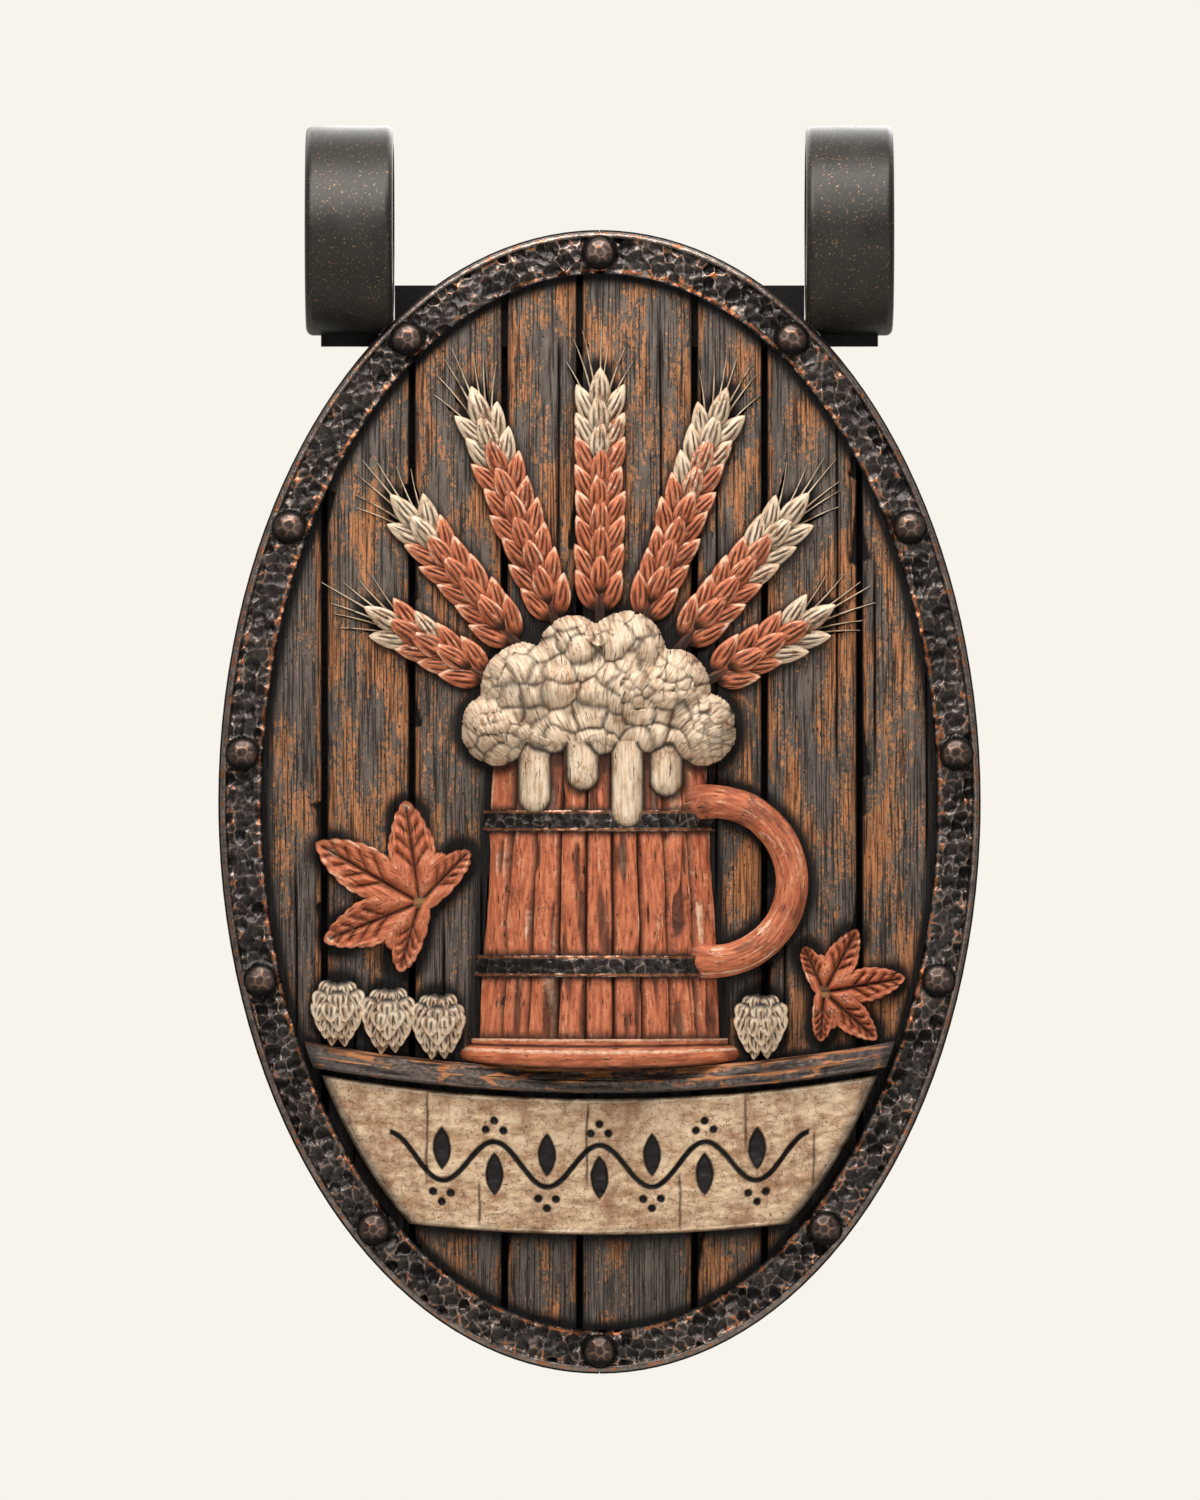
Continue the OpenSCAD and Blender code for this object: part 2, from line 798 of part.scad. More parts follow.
module foam_lumps_grown(grow) {
    y = plank_y - foam_r / 5;
    for (f = foam_lumps)
        hull()
            translate([f[0] * foam_r, y, oval_z + mug_lip + f[1] * foam_r])
                sphere(r = f[2] * foam_r + grow, $fn = 20);
    for (f = foam_runs)
        hull()
            for (drop = [0, f[1] * foam_r])
                translate([f[0] * foam_r * 0.9, plank_y - mug_relief / 2, oval_z + mug_lip - drop])
                    sphere(r = foam_r * 0.42 + grow, $fn = 16);
}

module foam_head() {
    color(cream)
        difference() {
            intersection() {
                foam_lumps_grown(0);
                relief_space();
            }
            mug_slice(-past, mug_h + fit_gap, hoop_t + fit_gap);
            handle_ring(fit_gap);
            peg_holes(foam_pegs);
        }
}

// A grain: six-sided, widest below its middle, with a point at each end
module grain(l, w, d) {
    belly = l * 0.4;
    hull()
        polyhedron(
            points = concat(
                [[0, 0, 0]],
                [for (a = [0 : 60 : 300]) [w / 2 * cos(a), d / 2 * sin(a), belly]],
                [[0, 0, l]]
            ),
            faces = concat(
                [for (i = [0 : 5]) [0, 1 + i, 1 + (i + 1) % 6]],
                [for (i = [0 : 5]) [7, 1 + (i + 1) % 6, 1 + i]]
            )
        );
}

module barley_ear(i) {
    rows = floor((ear_end(i) - ear_start - grain_l) / grain_pitch);
    spine_l = (rows + 2) * grain_pitch;
    lath_w = grain_w / 2;
    lath_t = ear_relief * 0.4;
    start = ear_point(i, ear_start);
    lean = 26;
    side_out = grain_w * 0.15;
    side_depth = ear_relief * 0.25;
    color(russet)
        difference() {
            intersection() {
                translate([start[0], plank_y, start[1] + oval_z])
                    rotate([0, ear_turn(i), 0]) {
                        hull()
                            translate([-lath_w / 2, -lath_t, -grain_pitch])
                                cube([lath_w, lath_t, spine_l]);
                        for (k = [0 : rows]) {
                            for (side = sides)
                                translate([side * side_out, -side_depth, (k - 0.3) * grain_pitch])
                                    rotate([0, side * lean, 0])
                                        grain(grain_l, grain_w, ear_relief * 0.9);
                            translate([0, -ear_relief * 0.4, (k + 0.3) * grain_pitch])
                                grain(grain_l, grain_w, ear_relief);
                        }
                    }
                relief_space();
                slab(plank_y - far, far)
                    oval(field_w - 2 * fit_gap, field_h - 2 * fit_gap);
            }
            foam_lumps_grown(fit_gap);
            peg_holes(ear_pegs);
        }
}

// Five pointed lobes round the stalk: each has two shoulders, and a notch parts it from the next
module hop_leaf_shape(l) {
    ring = [for (i = [0 : 4], part = [-1 : 2])
        part == 2 ? [leaf_turns[i] + leaf_lobe_step / 2, leaf_notch]
            : part == 0 ? [leaf_turns[i], leaf_lobes[i]]
            : [leaf_turns[i] + part * leaf_shoulder_turn, leaf_lobes[i] * leaf_shoulder]];
    polygon(concat(
        [[0, -l * leaf_stalk]],
        [for (i = [0 : len(ring) - 2]) l * ring[i][1] * [sin(ring[i][0]), cos(ring[i][0])]]
    ));
}

module hop_leaf(at, turn, l) {
    color(russet)
        difference() {
            slab(plank_y - leaf_t, leaf_t)
                intersection() {
                    translate(at)
                        rotate(-turn)
                            hop_leaf_shape(l);
                    oval(field_w - hop_gap, field_h - hop_gap);
                }
            peg_holes(leaf_pegs);
        }
}

// A hop cone hangs point down, in tiers of bracts
module hop_cone(at) {
    count = len(cone_tiers);
    tier = cone_l / count;
    translate([at[0], plank_y - cone_d * 0.18, at[1] + oval_z])
        for (i = [0 : count - 1])
            translate([0, 0, i * tier])
                cylinder(
                    h = tier + (i < count - 1 ? tier_overlap : 0),
                    d1 = cone_tiers[i] * cone_d,
                    d2 = cone_tiers[i] * cone_d * 0.72
                );
}

module hop_cones() {
    color(cream)
        difference() {
            intersection() {
                for (at = cones)
                    hop_cone(at);
                relief_space();
            }
            peg_holes(hop_pegs);
        }
}

for (i = [1 : plank_count])
    front_plank(i);
for (i = [1 : board_count])
    back_board(i);
front_rim();
rim_rivets();
rivet_roves();
hanger_bar();
loop_rivets();
bar_bolts();
board_nails();
for (i = [0, 1]) {
    back_rim(sides[i]);
    edge_band(sides[i]);
    hanger_loop(sides[i]);
    pole_bush(sides[i]);
}
banner_ledge();
banner_board();
banner_pegs();
tankard_body();
tankard_foot();
lower_hoop();
upper_hoop();
tankard_handle();
foam_head();
for (i = ear_numbers)
    barley_ear(i);
hop_leaf(left_leaf_at, left_leaf_turn, left_leaf_l);  // left_hop_leaf
hop_leaf(right_leaf_at, right_leaf_turn, right_leaf_l);  // right_hop_leaf
hop_cones();
carving_pegs();
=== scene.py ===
# %% [markdown]
# A hanging tavern sign, dressed around its packed model.
# The packed solids hold every piece at its true size. Bump in a material could fake most of the carving,
# but relief that is really there keeps its shape from every side, so the planks, the rim and the carving
# become new meshes, while the smooth ironwork keeps its solids and only takes a finish.

# %% The packed sign
import math
from functools import partial

import bpy
import numpy as np
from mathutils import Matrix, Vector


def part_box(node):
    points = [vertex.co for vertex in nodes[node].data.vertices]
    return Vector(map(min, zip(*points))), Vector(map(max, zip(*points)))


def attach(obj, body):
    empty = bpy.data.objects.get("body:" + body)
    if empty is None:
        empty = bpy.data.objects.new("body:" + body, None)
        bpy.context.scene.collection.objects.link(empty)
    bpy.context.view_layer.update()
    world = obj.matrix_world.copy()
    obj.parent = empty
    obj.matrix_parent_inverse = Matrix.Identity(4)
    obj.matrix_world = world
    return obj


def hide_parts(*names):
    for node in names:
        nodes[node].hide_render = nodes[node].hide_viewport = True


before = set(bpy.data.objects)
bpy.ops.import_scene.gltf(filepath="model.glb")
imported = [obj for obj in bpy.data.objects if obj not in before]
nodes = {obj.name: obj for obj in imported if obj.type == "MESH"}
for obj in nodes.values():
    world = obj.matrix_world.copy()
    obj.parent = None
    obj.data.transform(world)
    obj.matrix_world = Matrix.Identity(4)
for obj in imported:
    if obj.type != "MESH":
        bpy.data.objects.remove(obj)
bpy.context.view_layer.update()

# %% [markdown]
# A carver works on a sign that lies flat on a bench, so the pieces are drawn in bench millimetres:
# u to the right, v up from the oval's centre, and w out of the planks' face. One function turns them into
# the model's metres. Measuring the rim's own box keeps the bench in step with the packed model.

# %% Bench coordinates
MM = 0.001
RIM_W = 34.0
rim_low, rim_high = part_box("front_rim")
FACE_Y = rim_high.y
OVAL_Z = (rim_low.z + rim_high.z) / 2
RIM_HALF = np.array([rim_high.x - rim_low.x, rim_high.z - rim_low.z]) / 2 / MM
FIELD_HALF = RIM_HALF - RIM_W


def bench_box(node):
    """Lowest and highest (u, v, w) of a packed node."""
    low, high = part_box(node)
    lowest = np.array([low.x, low.z - OVAL_Z, FACE_Y - high.y]) / MM
    highest = np.array([high.x, high.z - OVAL_Z, FACE_Y - low.y]) / MM
    return lowest, highest


def to_frame(points):
    """Bench millimetres to the model's metres."""
    u, v, w = points.T
    return np.stack([u * MM, FACE_Y - w * MM, OVAL_Z + v * MM], axis=1)


RIM_T = bench_box("front_rim")[1][2]
print("field half width and height:", FIELD_HALF.round(1), "rim thickness:", round(RIM_T, 1))

# %% [markdown]
# Carving has no knife-sharp borders: a cut, a rubbed line or a sooty hollow always fades out. Four short
# functions describe that fading, and every relief and every paint value below is put together from them.

# %% Soft edges
def ease(low, high, x):
    """0 below low, 1 above high, with a soft start and end; turned round where low is the larger."""
    t = np.clip((x - low) / (high - low), 0.0, 1.0)
    return t * t * (3 - 2 * t)


def fade(low, high, x):
    """1 below low, 0 above high."""
    return 1 - ease(low, high, x)


def stripe(off, width):
    """1 on a line, and less and less away from it on both sides."""
    return np.exp(-(off / width) ** 2)


def most(*values):
    """The strongest of several values at every point."""
    return np.maximum.reduce(np.broadcast_arrays(*values))


print("a soft edge at a quarter, half and three quarters:", ease(0, 1, np.array([0.25, 0.5, 0.75])).round(2))

# %% [markdown]
# Hand work is never even: grain, hammer marks and chips all need numbers that look random and yet come out
# the same on every run. Blender's own textures only reach the shader, so these small functions hash whole
# numbers instead. Noise gives soft swellings, and rough stacks finer noise on it. Every call ends in a seed,
# a number that picks one pattern out of many.

# %% Repeatable roughness
def scatter(i, j, seed):
    """A fixed number from 0 to 1 for every whole-number place."""
    n = (i * 374761393 + j * 668265263 + seed * 1274126177) & 0xFFFFFFFF
    n = ((n ^ (n >> 13)) * 1103515245) & 0xFFFFFFFF
    return ((n ^ (n >> 16)) & 0xFFFF) / 65535.0


def noise(x, y, cell, seed):
    """Soft swellings from 0 to 1, about as wide and as high as the cell."""
    x, y = x / cell[0], y / cell[1]
    i, j = np.floor(x).astype(np.int64), np.floor(y).astype(np.int64)
    fx, fy = ease(0, 1, x - i), ease(0, 1, y - j)
    low = scatter(i, j, seed) * (1 - fx) + scatter(i + 1, j, seed) * fx
    high = scatter(i, j + 1, seed) * (1 - fx) + scatter(i + 1, j + 1, seed) * fx
    return low * (1 - fy) + high * fy


def rough(x, y, cell, seed, layers=3):
    """Noise with finer noise on it, from 0 to 1."""
    shares = [0.5 ** k for k in range(layers)]
    total = sum(s * noise(x, y, (cell[0] * s, cell[1] * s), seed + k) for k, s in enumerate(shares))
    return total / sum(shares)


print("noise at the centre:", noise(np.zeros(1), np.zeros(1), (3.0, 3.0), 1).round(3))

# %% [markdown]
# Every relief on the sign is a patch of surface that stands on a flat back. Boards, bands and strips are
# grids of rows and columns. A subdivided plane could be pushed up in the same way, but it keeps its points
# evenly spread, while a grid of our own can crowd them where a crack or an edge needs them. Paint values,
# such as how dark a hollow is, ride on the same points.

# %% Grids
def grid_faces(rows, cols, wrap_rows=False, wrap_cols=False):
    """Four corners for every cell of a grid, which may close round on itself either way."""
    index = np.arange(rows * cols).reshape(rows, cols)
    if wrap_rows:
        index = np.vstack([index, index[:1]])
    if wrap_cols:
        index = np.hstack([index, index[:, :1]])
    corners = [index[:-1, :-1], index[:-1, 1:], index[1:, 1:], index[1:, :-1]]
    return np.stack(corners, axis=-1).reshape(-1, 4).tolist()


def on_points(u, v, w, **paint):
    """A grid's points in one list, and its paint values in the same order."""
    points = np.stack([u, v, w], axis=-1).reshape(-1, 3)
    return points, {key: np.broadcast_to(value, u.shape).ravel() for key, value in paint.items()}


print("faces of a grid of 3 by 4 points:", len(grid_faces(3, 4)))

# %% [markdown]
# A board is no sheet: seen from the side it has thickness. A Solidify modifier would give it a back as bumpy
# as its face. Here the border runs straight down and the back is shut flat, so that each piece is a true
# solid, and the same solid can be turned over for the back of the sign.

# %% Closed slabs
def close_back(points, faces, paint, border, back, shut, inside=()):
    """Walls from a border, counter-clockwise from the front, down to w = back, and the faces that shut it.

    The back may also use a copy of points inside the border.
    """
    copied = np.concatenate([border, np.array(inside, dtype=int)])
    low = points[copied].copy()
    low[:, 2] = back
    first, count = len(points), len(border)
    for k in range(count):
        after = (k + 1) % count
        faces.append([first + k, first + after, int(border[after]), int(border[k])])
    faces += [[first + k for k in face] for face in shut]
    paint = {key: np.concatenate([value, value[copied]]) for key, value in paint.items()}
    return np.concatenate([points, low]), faces, paint


def slab(u, v, w, back, **paint):
    """A closed block whose face is a grid of rows, going up in v, and columns, going right in u."""
    rows, cols = u.shape
    index = np.arange(rows * cols).reshape(rows, cols)
    border = np.concatenate([index[0, :-1], index[:-1, -1], index[-1, :0:-1], index[:0:-1, 0]])
    across, up = cols - 1, rows - 1
    # The back is shut in upright strips, and the outer two also take in the points of the sides.
    shut = [[c, 2 * across + up - c, 2 * across + up - c - 1, c + 1] for c in range(across)]
    shut[0][1:1] = range(2 * (across + up) - 1, 2 * across + up, -1)
    shut[-1][-1:-1] = range(across + up - 1, across, -1)
    points, paint = on_points(u, v, w, **paint)
    return close_back(points, grid_faces(rows, cols), paint, border, back, shut)


def turned_over(part, depth):
    """The same part on the back of the sign, facing away from the planks."""
    points, faces, paint = part
    points = points * np.array([1, 1, -1]) - np.array([0, 0, depth])
    return points, [face[::-1] for face in faces], paint


corner_u, corner_v = np.meshgrid(np.arange(4.0), np.arange(3.0))
print("points of that grid as a solid:", len(slab(corner_u, corner_v, 0 * corner_u, -1.0)[0]))

# %% [markdown]
# Grains, leaves and rivet heads have outlines that no grid follows well. They are fans: rings of points grow
# from a centre out to any outline, and a function of each piece's own gives the height and the paint.

# %% Fans
def fan(outline, centre, rings, relief, back=0.0, at=(0.0, 0.0), turn=0.0):
    """A closed relief from a centre to an outline; relief(a, b, share) gives the height and the paint."""
    count = len(outline)
    share = (np.arange(1, rings + 1) / rings)[:, None]
    a = np.append(centre[0], centre[0] + share * (outline[:, 0] - centre[0]))
    b = np.append(centre[1], centre[1] + share * (outline[:, 1] - centre[1]))
    w, paint = relief(a, b, np.append(0.0, np.repeat(share, count, axis=1)))
    paint = {key: np.broadcast_to(value, a.shape) for key, value in paint.items()}
    s, c = math.sin(math.radians(turn)), math.cos(math.radians(turn))
    points = np.stack([at[0] + a * c + b * s, at[1] - a * s + b * c, w], axis=1)
    faces = [[0, 1 + k, 1 + (k + 1) % count] for k in range(count)]
    for inner, inner_next, outer_next, outer in grid_faces(rings, count, wrap_cols=True):
        faces.append([1 + inner, 1 + outer, 1 + outer_next, 1 + inner_next])
    border = 1 + (rings - 1) * count + np.arange(count)
    shut = [[(k + 1) % count, k, count] for k in range(count)]
    return close_back(points, faces, paint, border, back, shut, inside=[0])


def circle(radius, count):
    """Points round a circle."""
    t = np.linspace(0, 2 * math.pi, count + 1)[:-1]
    return np.stack([radius * np.cos(t), radius * np.sin(t)], axis=1)


print("a circle of four points:", circle(1.0, 4).round(2).tolist())

# %% [markdown]
# One function turns loose parts into a piece of the sign. It writes the paint values as named attributes,
# which a material can read: glaze darkens hollows, cuts and feet, partly as grime and partly as
# painted shade, and wear pales ridges and edges, partly as wear and partly as painted highlight.
# It shades the surface smooth except across sharp edges, and hangs the piece on its body, so that it swings
# with the packed nodes it stands for.


def in_scene(name, data):
    """A new object in the scene."""
    made = bpy.data.objects.new(name, data)
    bpy.context.scene.collection.objects.link(made)
    return made


def piece(name, parts, finish, stands_for, crease=38):
    """One object from loose parts; edges sharper than the crease, in degrees, stay sharp."""
    points, faces, paint, start = [], [], {}, 0
    keys = sorted({key for part in parts for key in part[2]})
    for part_points, part_faces, part_paint in parts:
        points.append(part_points)
        faces += [[start + k for k in face] for face in part_faces]
        for key in keys:
            paint.setdefault(key, []).append(part_paint.get(key, np.zeros(len(part_points))))
        start += len(part_points)
    mesh = bpy.data.meshes.new(name)
    mesh.from_pydata(to_frame(np.concatenate(points)).tolist(), [], faces)
    for key in keys:
        layer = mesh.attributes.new(key, "FLOAT", "POINT")
        layer.data.foreach_set("value", np.concatenate(paint[key]).astype(np.float32))
    mesh.shade_smooth()
    mesh.set_sharp_from_angle(angle=math.radians(crease))
    mesh.materials.append(finish)
    made = in_scene(name, mesh)
    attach(made, "sign")
    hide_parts(*stands_for)


# %% [markdown]
# A finish is a tree of shader nodes. Written out in full it hides the idea under wiring, so a small class
# adds one node per call and links or sets its sockets. Colours are written as the display values that the
# eye reads off an object in plain light, and turned into the linear ones that a shader works with.

# %% Colours and wiring
def shade(red, green, blue):
    """A colour from display values of 0 to 255."""
    parts = [x / 255 for x in (red, green, blue)]
    return tuple(x / 12.92 if x <= 0.04045 else ((x + 0.055) / 1.055) ** 2.4 for x in parts) + (1.0,)


class Wiring:
    """Adds nodes to a tree and links or sets their sockets."""

    def __init__(self, tree):
        self.tree = tree

    def feed(self, socket, value):
        if isinstance(value, bpy.types.NodeSocket):
            self.tree.links.new(value, socket)
        else:
            socket.default_value = value

    def add(self, kind, sockets=None, **settings):
        node = self.tree.nodes.new("ShaderNode" + kind)
        for key, value in settings.items():
            setattr(node, key, value)
        for key, value in (sockets or {}).items():
            self.feed(node.inputs[key], value)
        return node

    def math(self, operation, first, second):
        return self.add("Math", {0: first, 1: second}, operation=operation).outputs[0]


# The near black that glaze mixes in: partly soot and partly painted shade.
SOOT_AND_SHADE = shade(14, 11, 9)
COPPER = shade(164, 98, 60)
print("soot and copper:", [round(x, 3) for x in SOOT_AND_SHADE[:3] + COPPER[:3]])

# %% [markdown]
# A second class knows what a painted or forged surface needs: textures sized in millimetres as seen on the
# sign, stretched along the grain or along the carver's strokes, paint values from the points, soft levels,
# and fine bump. Bump only bends the light, which is enough for marks finer than the mesh.

# %% Building finishes
class Finish(Wiring):
    """One material, made of textures, paint values and colours."""

    def __init__(self, name, **sockets):
        self.material = bpy.data.materials.new(name)
        self.material.use_nodes = True
        super().__init__(self.material.node_tree)
        self.shader = self.tree.nodes["Principled BSDF"]
        self.at = self.add("TexCoord").outputs["Object"]
        self.set(**sockets)

    def set(self, **sockets):
        for key, value in sockets.items():
            self.feed(self.shader.inputs[key.replace("_", " ")], value)

    def stretched(self, u, v):
        """Coordinates squeezed so that a texture runs long where the number is small."""
        return self.add("Mapping", {"Vector": self.at, "Scale": (u, 1, v)}).outputs["Vector"]

    def flow(self, stretch):
        """Coordinates in the piece's own flow, long along the carver's strokes."""
        across, along = self.paint("across"), self.math("MULTIPLY", self.paint("along"), stretch)
        joined = self.add("CombineXYZ", {"X": across, "Y": along}).outputs["Vector"]
        return self.add("Mapping", {"Vector": joined, "Scale": (MM, MM, MM)}).outputs["Vector"]

    def paint(self, name):
        return self.add("Attribute", attribute_name=name).outputs["Fac"]

    def noise(self, size, where=None, detail=3.0, harsh=0.55):
        sockets = {"Vector": where or self.at, "Scale": 1 / (size * MM)}
        sockets |= {"Detail": detail, "Roughness": harsh}
        return self.add("TexNoise", sockets).outputs["Fac"]

    def level(self, value, low, high, start=0.0, end=1.0):
        sockets = {"Value": value, "From Min": low, "From Max": high, "To Min": start, "To Max": end}
        return self.add("MapRange", sockets, interpolation_type="SMOOTHSTEP").outputs["Result"]

    def total(self, *shares):
        """Sum of values, each with its weight."""
        so_far, *rest = [self.math("MULTIPLY", value, share) for value, share in shares]
        for term in rest:
            so_far = self.math("ADD", so_far, term)
        return so_far

    def mix(self, amount, first, second):
        return self.add("Mix", {0: amount, 6: first, 7: second}, data_type="RGBA").outputs[2]

    def bump(self, height, deep, strength):
        """Fine relief of deep millimetres."""
        sockets = {"Height": height, "Distance": deep * MM, "Strength": strength}
        self.set(Normal=self.add("Bump", sockets).outputs["Normal"])


print("what a finish can do:", [name for name in vars(Finish) if not name.startswith("_")])

# %% [markdown]
# The sign hangs in front of a pale wall and is seen square on. A long lens from a few metres away keeps
# the oval true, as in a catalogue picture. The lens follows from the height of the picture at the sign.

# %% Camera
VIEW_H = 1200.0
VIEW_MIDDLE = (0.4, 41.5)
CAMERA_Y = -14.0
SENSOR_H = 36.0
lens = bpy.data.cameras.new("camera")
lens.sensor_fit = "VERTICAL"
lens.sensor_height = SENSOR_H
lens.lens = SENSOR_H * (FACE_Y - CAMERA_Y) / (VIEW_H * MM)
camera = in_scene("camera", lens)
camera.location = (VIEW_MIDDLE[0] * MM, CAMERA_Y, OVAL_Z + VIEW_MIDDLE[1] * MM)
camera.rotation_euler = (math.radians(90), 0, 0)
bpy.context.scene.camera = camera
bpy.context.scene.view_settings.view_transform = "Standard"
print("lens:", round(lens.lens, 1), "mm")

# %% [markdown]
# A broad lamp above and in front gives the soft shade under every edge, and a strip overhead puts the pale
# streak on the tops of the loops and the rim. A low fill keeps the lower half readable, and two lamps behind
# serve the back. A sun or a spot would draw hard shadows into every cut, so all five are wide and soft.

# %% Lamps
def lamp(name, place, aim, size, watts):
    """A rectangular lamp at a place, turned towards a point."""
    data = bpy.data.lights.new(name, "AREA")
    data.shape = "RECTANGLE"
    data.size, data.size_y = size
    data.energy = watts
    made = in_scene(name, data)
    made.location = place
    made.visible_camera = False
    x, y, z = np.array(aim) - np.array(place)
    tilt, turn = math.atan2(math.hypot(x, y), -z), math.atan2(y, x) - math.pi / 2
    made.rotation_euler = (tilt, 0, turn)


MIDDLE = (0.0, 0.0, OVAL_Z)
lamp("high_front", (-0.5, -1.5, 1.0), MIDDLE, (1.2, 0.7), 33)
lamp("overhead_strip", (0.1, -0.6, 0.95), (0.0, 0.0, -0.5), (1.4, 0.4), 20)
lamp("top_behind", (0.0, 1.0, 0.85), (0.0, 0.0, -0.1), (2.2, 1.0), 19)
lamp("low_fill", (0.9, -2.4, -0.85), MIDDLE, (1.6, 1.1), 11)
lamp("back_fill", (0.3, 2.4, 0.4), MIDDLE, (1.6, 1.6), 26)

# %% [markdown]
# A real wall behind the sign would throw light back on it. So the world plays the wall: its pale colour is
# only what the camera sees and what iron mirrors from behind the sign, while the light that it gives stays
# weak and even. The picture is pale without any extra light on the wood.

# %% Pale wall
WALL = shade(248, 244, 236)
world = bpy.data.worlds.new("studio")
bpy.context.scene.world = world
world.use_nodes = True
sky = Wiring(world.node_tree)
ambient = world.node_tree.nodes["Background"]
sky.feed(ambient.inputs["Color"], shade(250, 247, 242))
sky.feed(ambient.inputs["Strength"], 0.22)
wall = sky.add("Background", {"Color": WALL})
ray = sky.add("LightPath").outputs
seen = sky.math("MAXIMUM", ray["Is Camera Ray"], ray["Is Transmission Ray"])
towards = sky.add("SeparateXYZ", {"Vector": sky.add("TexCoord").outputs["Generated"]}).outputs["Y"]
behind = sky.add("MapRange", {"Value": towards, "From Min": -0.1, "From Max": 0.35}).outputs["Result"]
mirrored = sky.math("MULTIPLY", ray["Is Glossy Ray"], behind)
shown = sky.math("MAXIMUM", seen, mirrored)
either = sky.add("MixShader", {0: shown, 1: ambient.outputs[0], 2: wall.outputs[0]})
sky.feed(world.node_tree.nodes["World Output"].inputs["Surface"], either.outputs[0])
print("nodes in the world:", len(world.node_tree.nodes))

# %% [markdown]
# The sign hangs well above a pale floor, which has to run into the wall without a line. A disc does it, with
# a faint glow that only the camera sees, so that the floor looks pale and still throws little light upwards.

# %% Floor
FLOOR_R = 6.0
FLOOR_Z = -1.65
FLOOR_CORNERS = 96
floor_mesh = bpy.data.meshes.new("floor")
floor_points = [(x, y, FLOOR_Z) for x, y in circle(FLOOR_R, FLOOR_CORNERS).tolist()]
floor_mesh.from_pydata(floor_points, [], [list(range(FLOOR_CORNERS))])
floor = in_scene("floor", floor_mesh)
pale = Finish("pale_floor", Roughness=0.9, Specular_IOR_Level=0.0, Emission_Color=WALL)
in_view = pale.add("LightPath").outputs["Is Camera Ray"]
pale.set(Base_Color=pale.mix(in_view, WALL, shade(106, 104, 101)))
pale.set(Emission_Strength=pale.math("MULTIPLY", in_view, 0.68))
floor_mesh.materials.append(pale.material)
print("floor at:", FLOOR_Z, "m")

# %% [markdown]
# The planks must know what stands on them, because painted shade lies as a dark halo along every foot. So
# the layout of the carving comes first. Ledge, banner, tankard and foam are measured from their packed nodes,
# or follow from the few sizes that shape them.

# %% Layout of ledge and tankard
SAG_R = 1300.0
LEDGE_H = 20.0
BANNER_H = 109.0
LEDGE_LOW = bench_box("banner_ledge")[0][1]
LEDGE_TOP = LEDGE_LOW + LEDGE_H
BANNER_LOW = bench_box("banner_board")[0][1]
BANNER_TOP = BANNER_LOW + BANNER_H
mug_low, mug_high = bench_box("tankard_body")
MUG_FOOT, MUG_LIP, MUG_RELIEF = mug_low[1], mug_high[1], mug_high[2]
MUG_LOW_HALF, MUG_TOP_HALF = mug_high[0], 86.0
MUG_R1 = (MUG_LOW_HALF ** 2 + MUG_RELIEF ** 2) / (2 * MUG_RELIEF)
MUG_SINK = MUG_R1 - MUG_RELIEF
MUG_R2 = math.hypot(MUG_TOP_HALF, MUG_SINK)
LIP = np.array([0.0, MUG_LIP])
HANDLE_R, HANDLE_D = 64.0, 27.0
handle_low, handle_high = bench_box("tankard_handle")
HANDLE_AT = (handle_high[0] - HANDLE_R - HANDLE_D / 2, (handle_low[1] + handle_high[1]) / 2)
HANDLE_DEPTH = handle_high[2] - HANDLE_D / 2


def sag(u):
    """Rise of the ledge's and the banner's curve at a distance u from the middle."""
    return SAG_R - np.sqrt(SAG_R ** 2 - u ** 2)


def mug_r(v):
    """Radius of the tankard's cone at a height."""
    return MUG_R1 + (MUG_R2 - MUG_R1) * (v - MUG_FOOT) / (MUG_LIP - MUG_FOOT)


# Lumps of foam in three rows, each by its place across, its height over the lip and its size.
FOAM_R = 33.0
LUMPS = [(1.22 * k, 0.35, 0.95 + 0.07 * math.cos(math.radians(140 * k))) for k in range(-2, 3)]
LUMPS += [(1.2 * k, 1.35, 1.05 + 0.08 * math.sin(math.radians(170 * k))) for k in (-1.5, -0.5, 0.5, 1.5)]
LUMPS += [(1.3 * k, 2.25, 0.95 + 0.1 * k) for k in (-0.5, 0.5)]
LUMPS = [(x * FOAM_R, MUG_LIP + y * FOAM_R, size * FOAM_R) for x, y, size in LUMPS]
# Runs of foam over the lip, each by its place across and its drop.
RUN_R = 0.42 * FOAM_R
RUNS = [(-1.75, 1.3), (-0.45, 0.75), (0.75, 1.65), (1.8, 0.9)]
RUNS = [(0.9 * x * FOAM_R, drop * FOAM_R) for x, drop in RUNS]
print("lip at:", round(MUG_LIP, 1), "handle at:", np.round(HANDLE_AT, 1), "lumps:", len(LUMPS))

# %% [markdown]
# Seven barley ears stand in a fan round the middle of the lip, shorter towards the sides as in a sheaf. Two
# hop leaves and four cones fill the ground beside the tankard. Directions are turns clockwise from straight
# up, which is how one reads them off a drawing.

# %% Layout of the plants
EAR_TURNS = [20.0 * k for k in range(-3, 4)]
EAR_START, EAR_REACH = 112.0, 312.0
EAR_NECK = 26.0
GRAIN_L, GRAIN_W, GRAIN_PITCH = 36.0, 17.0, 21.0
CONE_L, CONE_D = 50.0, 36.0
CONES = [(u, LEDGE_TOP + sag(u) + 4.0) for u in (-129.0, -169.0, -209.0, 129.0)]
# Leaves by the place of the stalk, the turn and the length.
LEAVES = {
    "left_hop_leaf": ((-144.0, -80.5), -60.0, 96.0),
    "right_hop_leaf": ((179.5, -152.0), 80.0, 66.0),
}
LOBE_TURNS = [-104.0, -52.0, 0.0, 52.0, 104.0]
LOBES = [0.6, 0.86, 1.0, 0.86, 0.6]


def heading(turn):
    """Unit step towards a turn in degrees, clockwise from straight up."""
    return np.array([math.sin(math.radians(turn)), math.cos(math.radians(turn))])


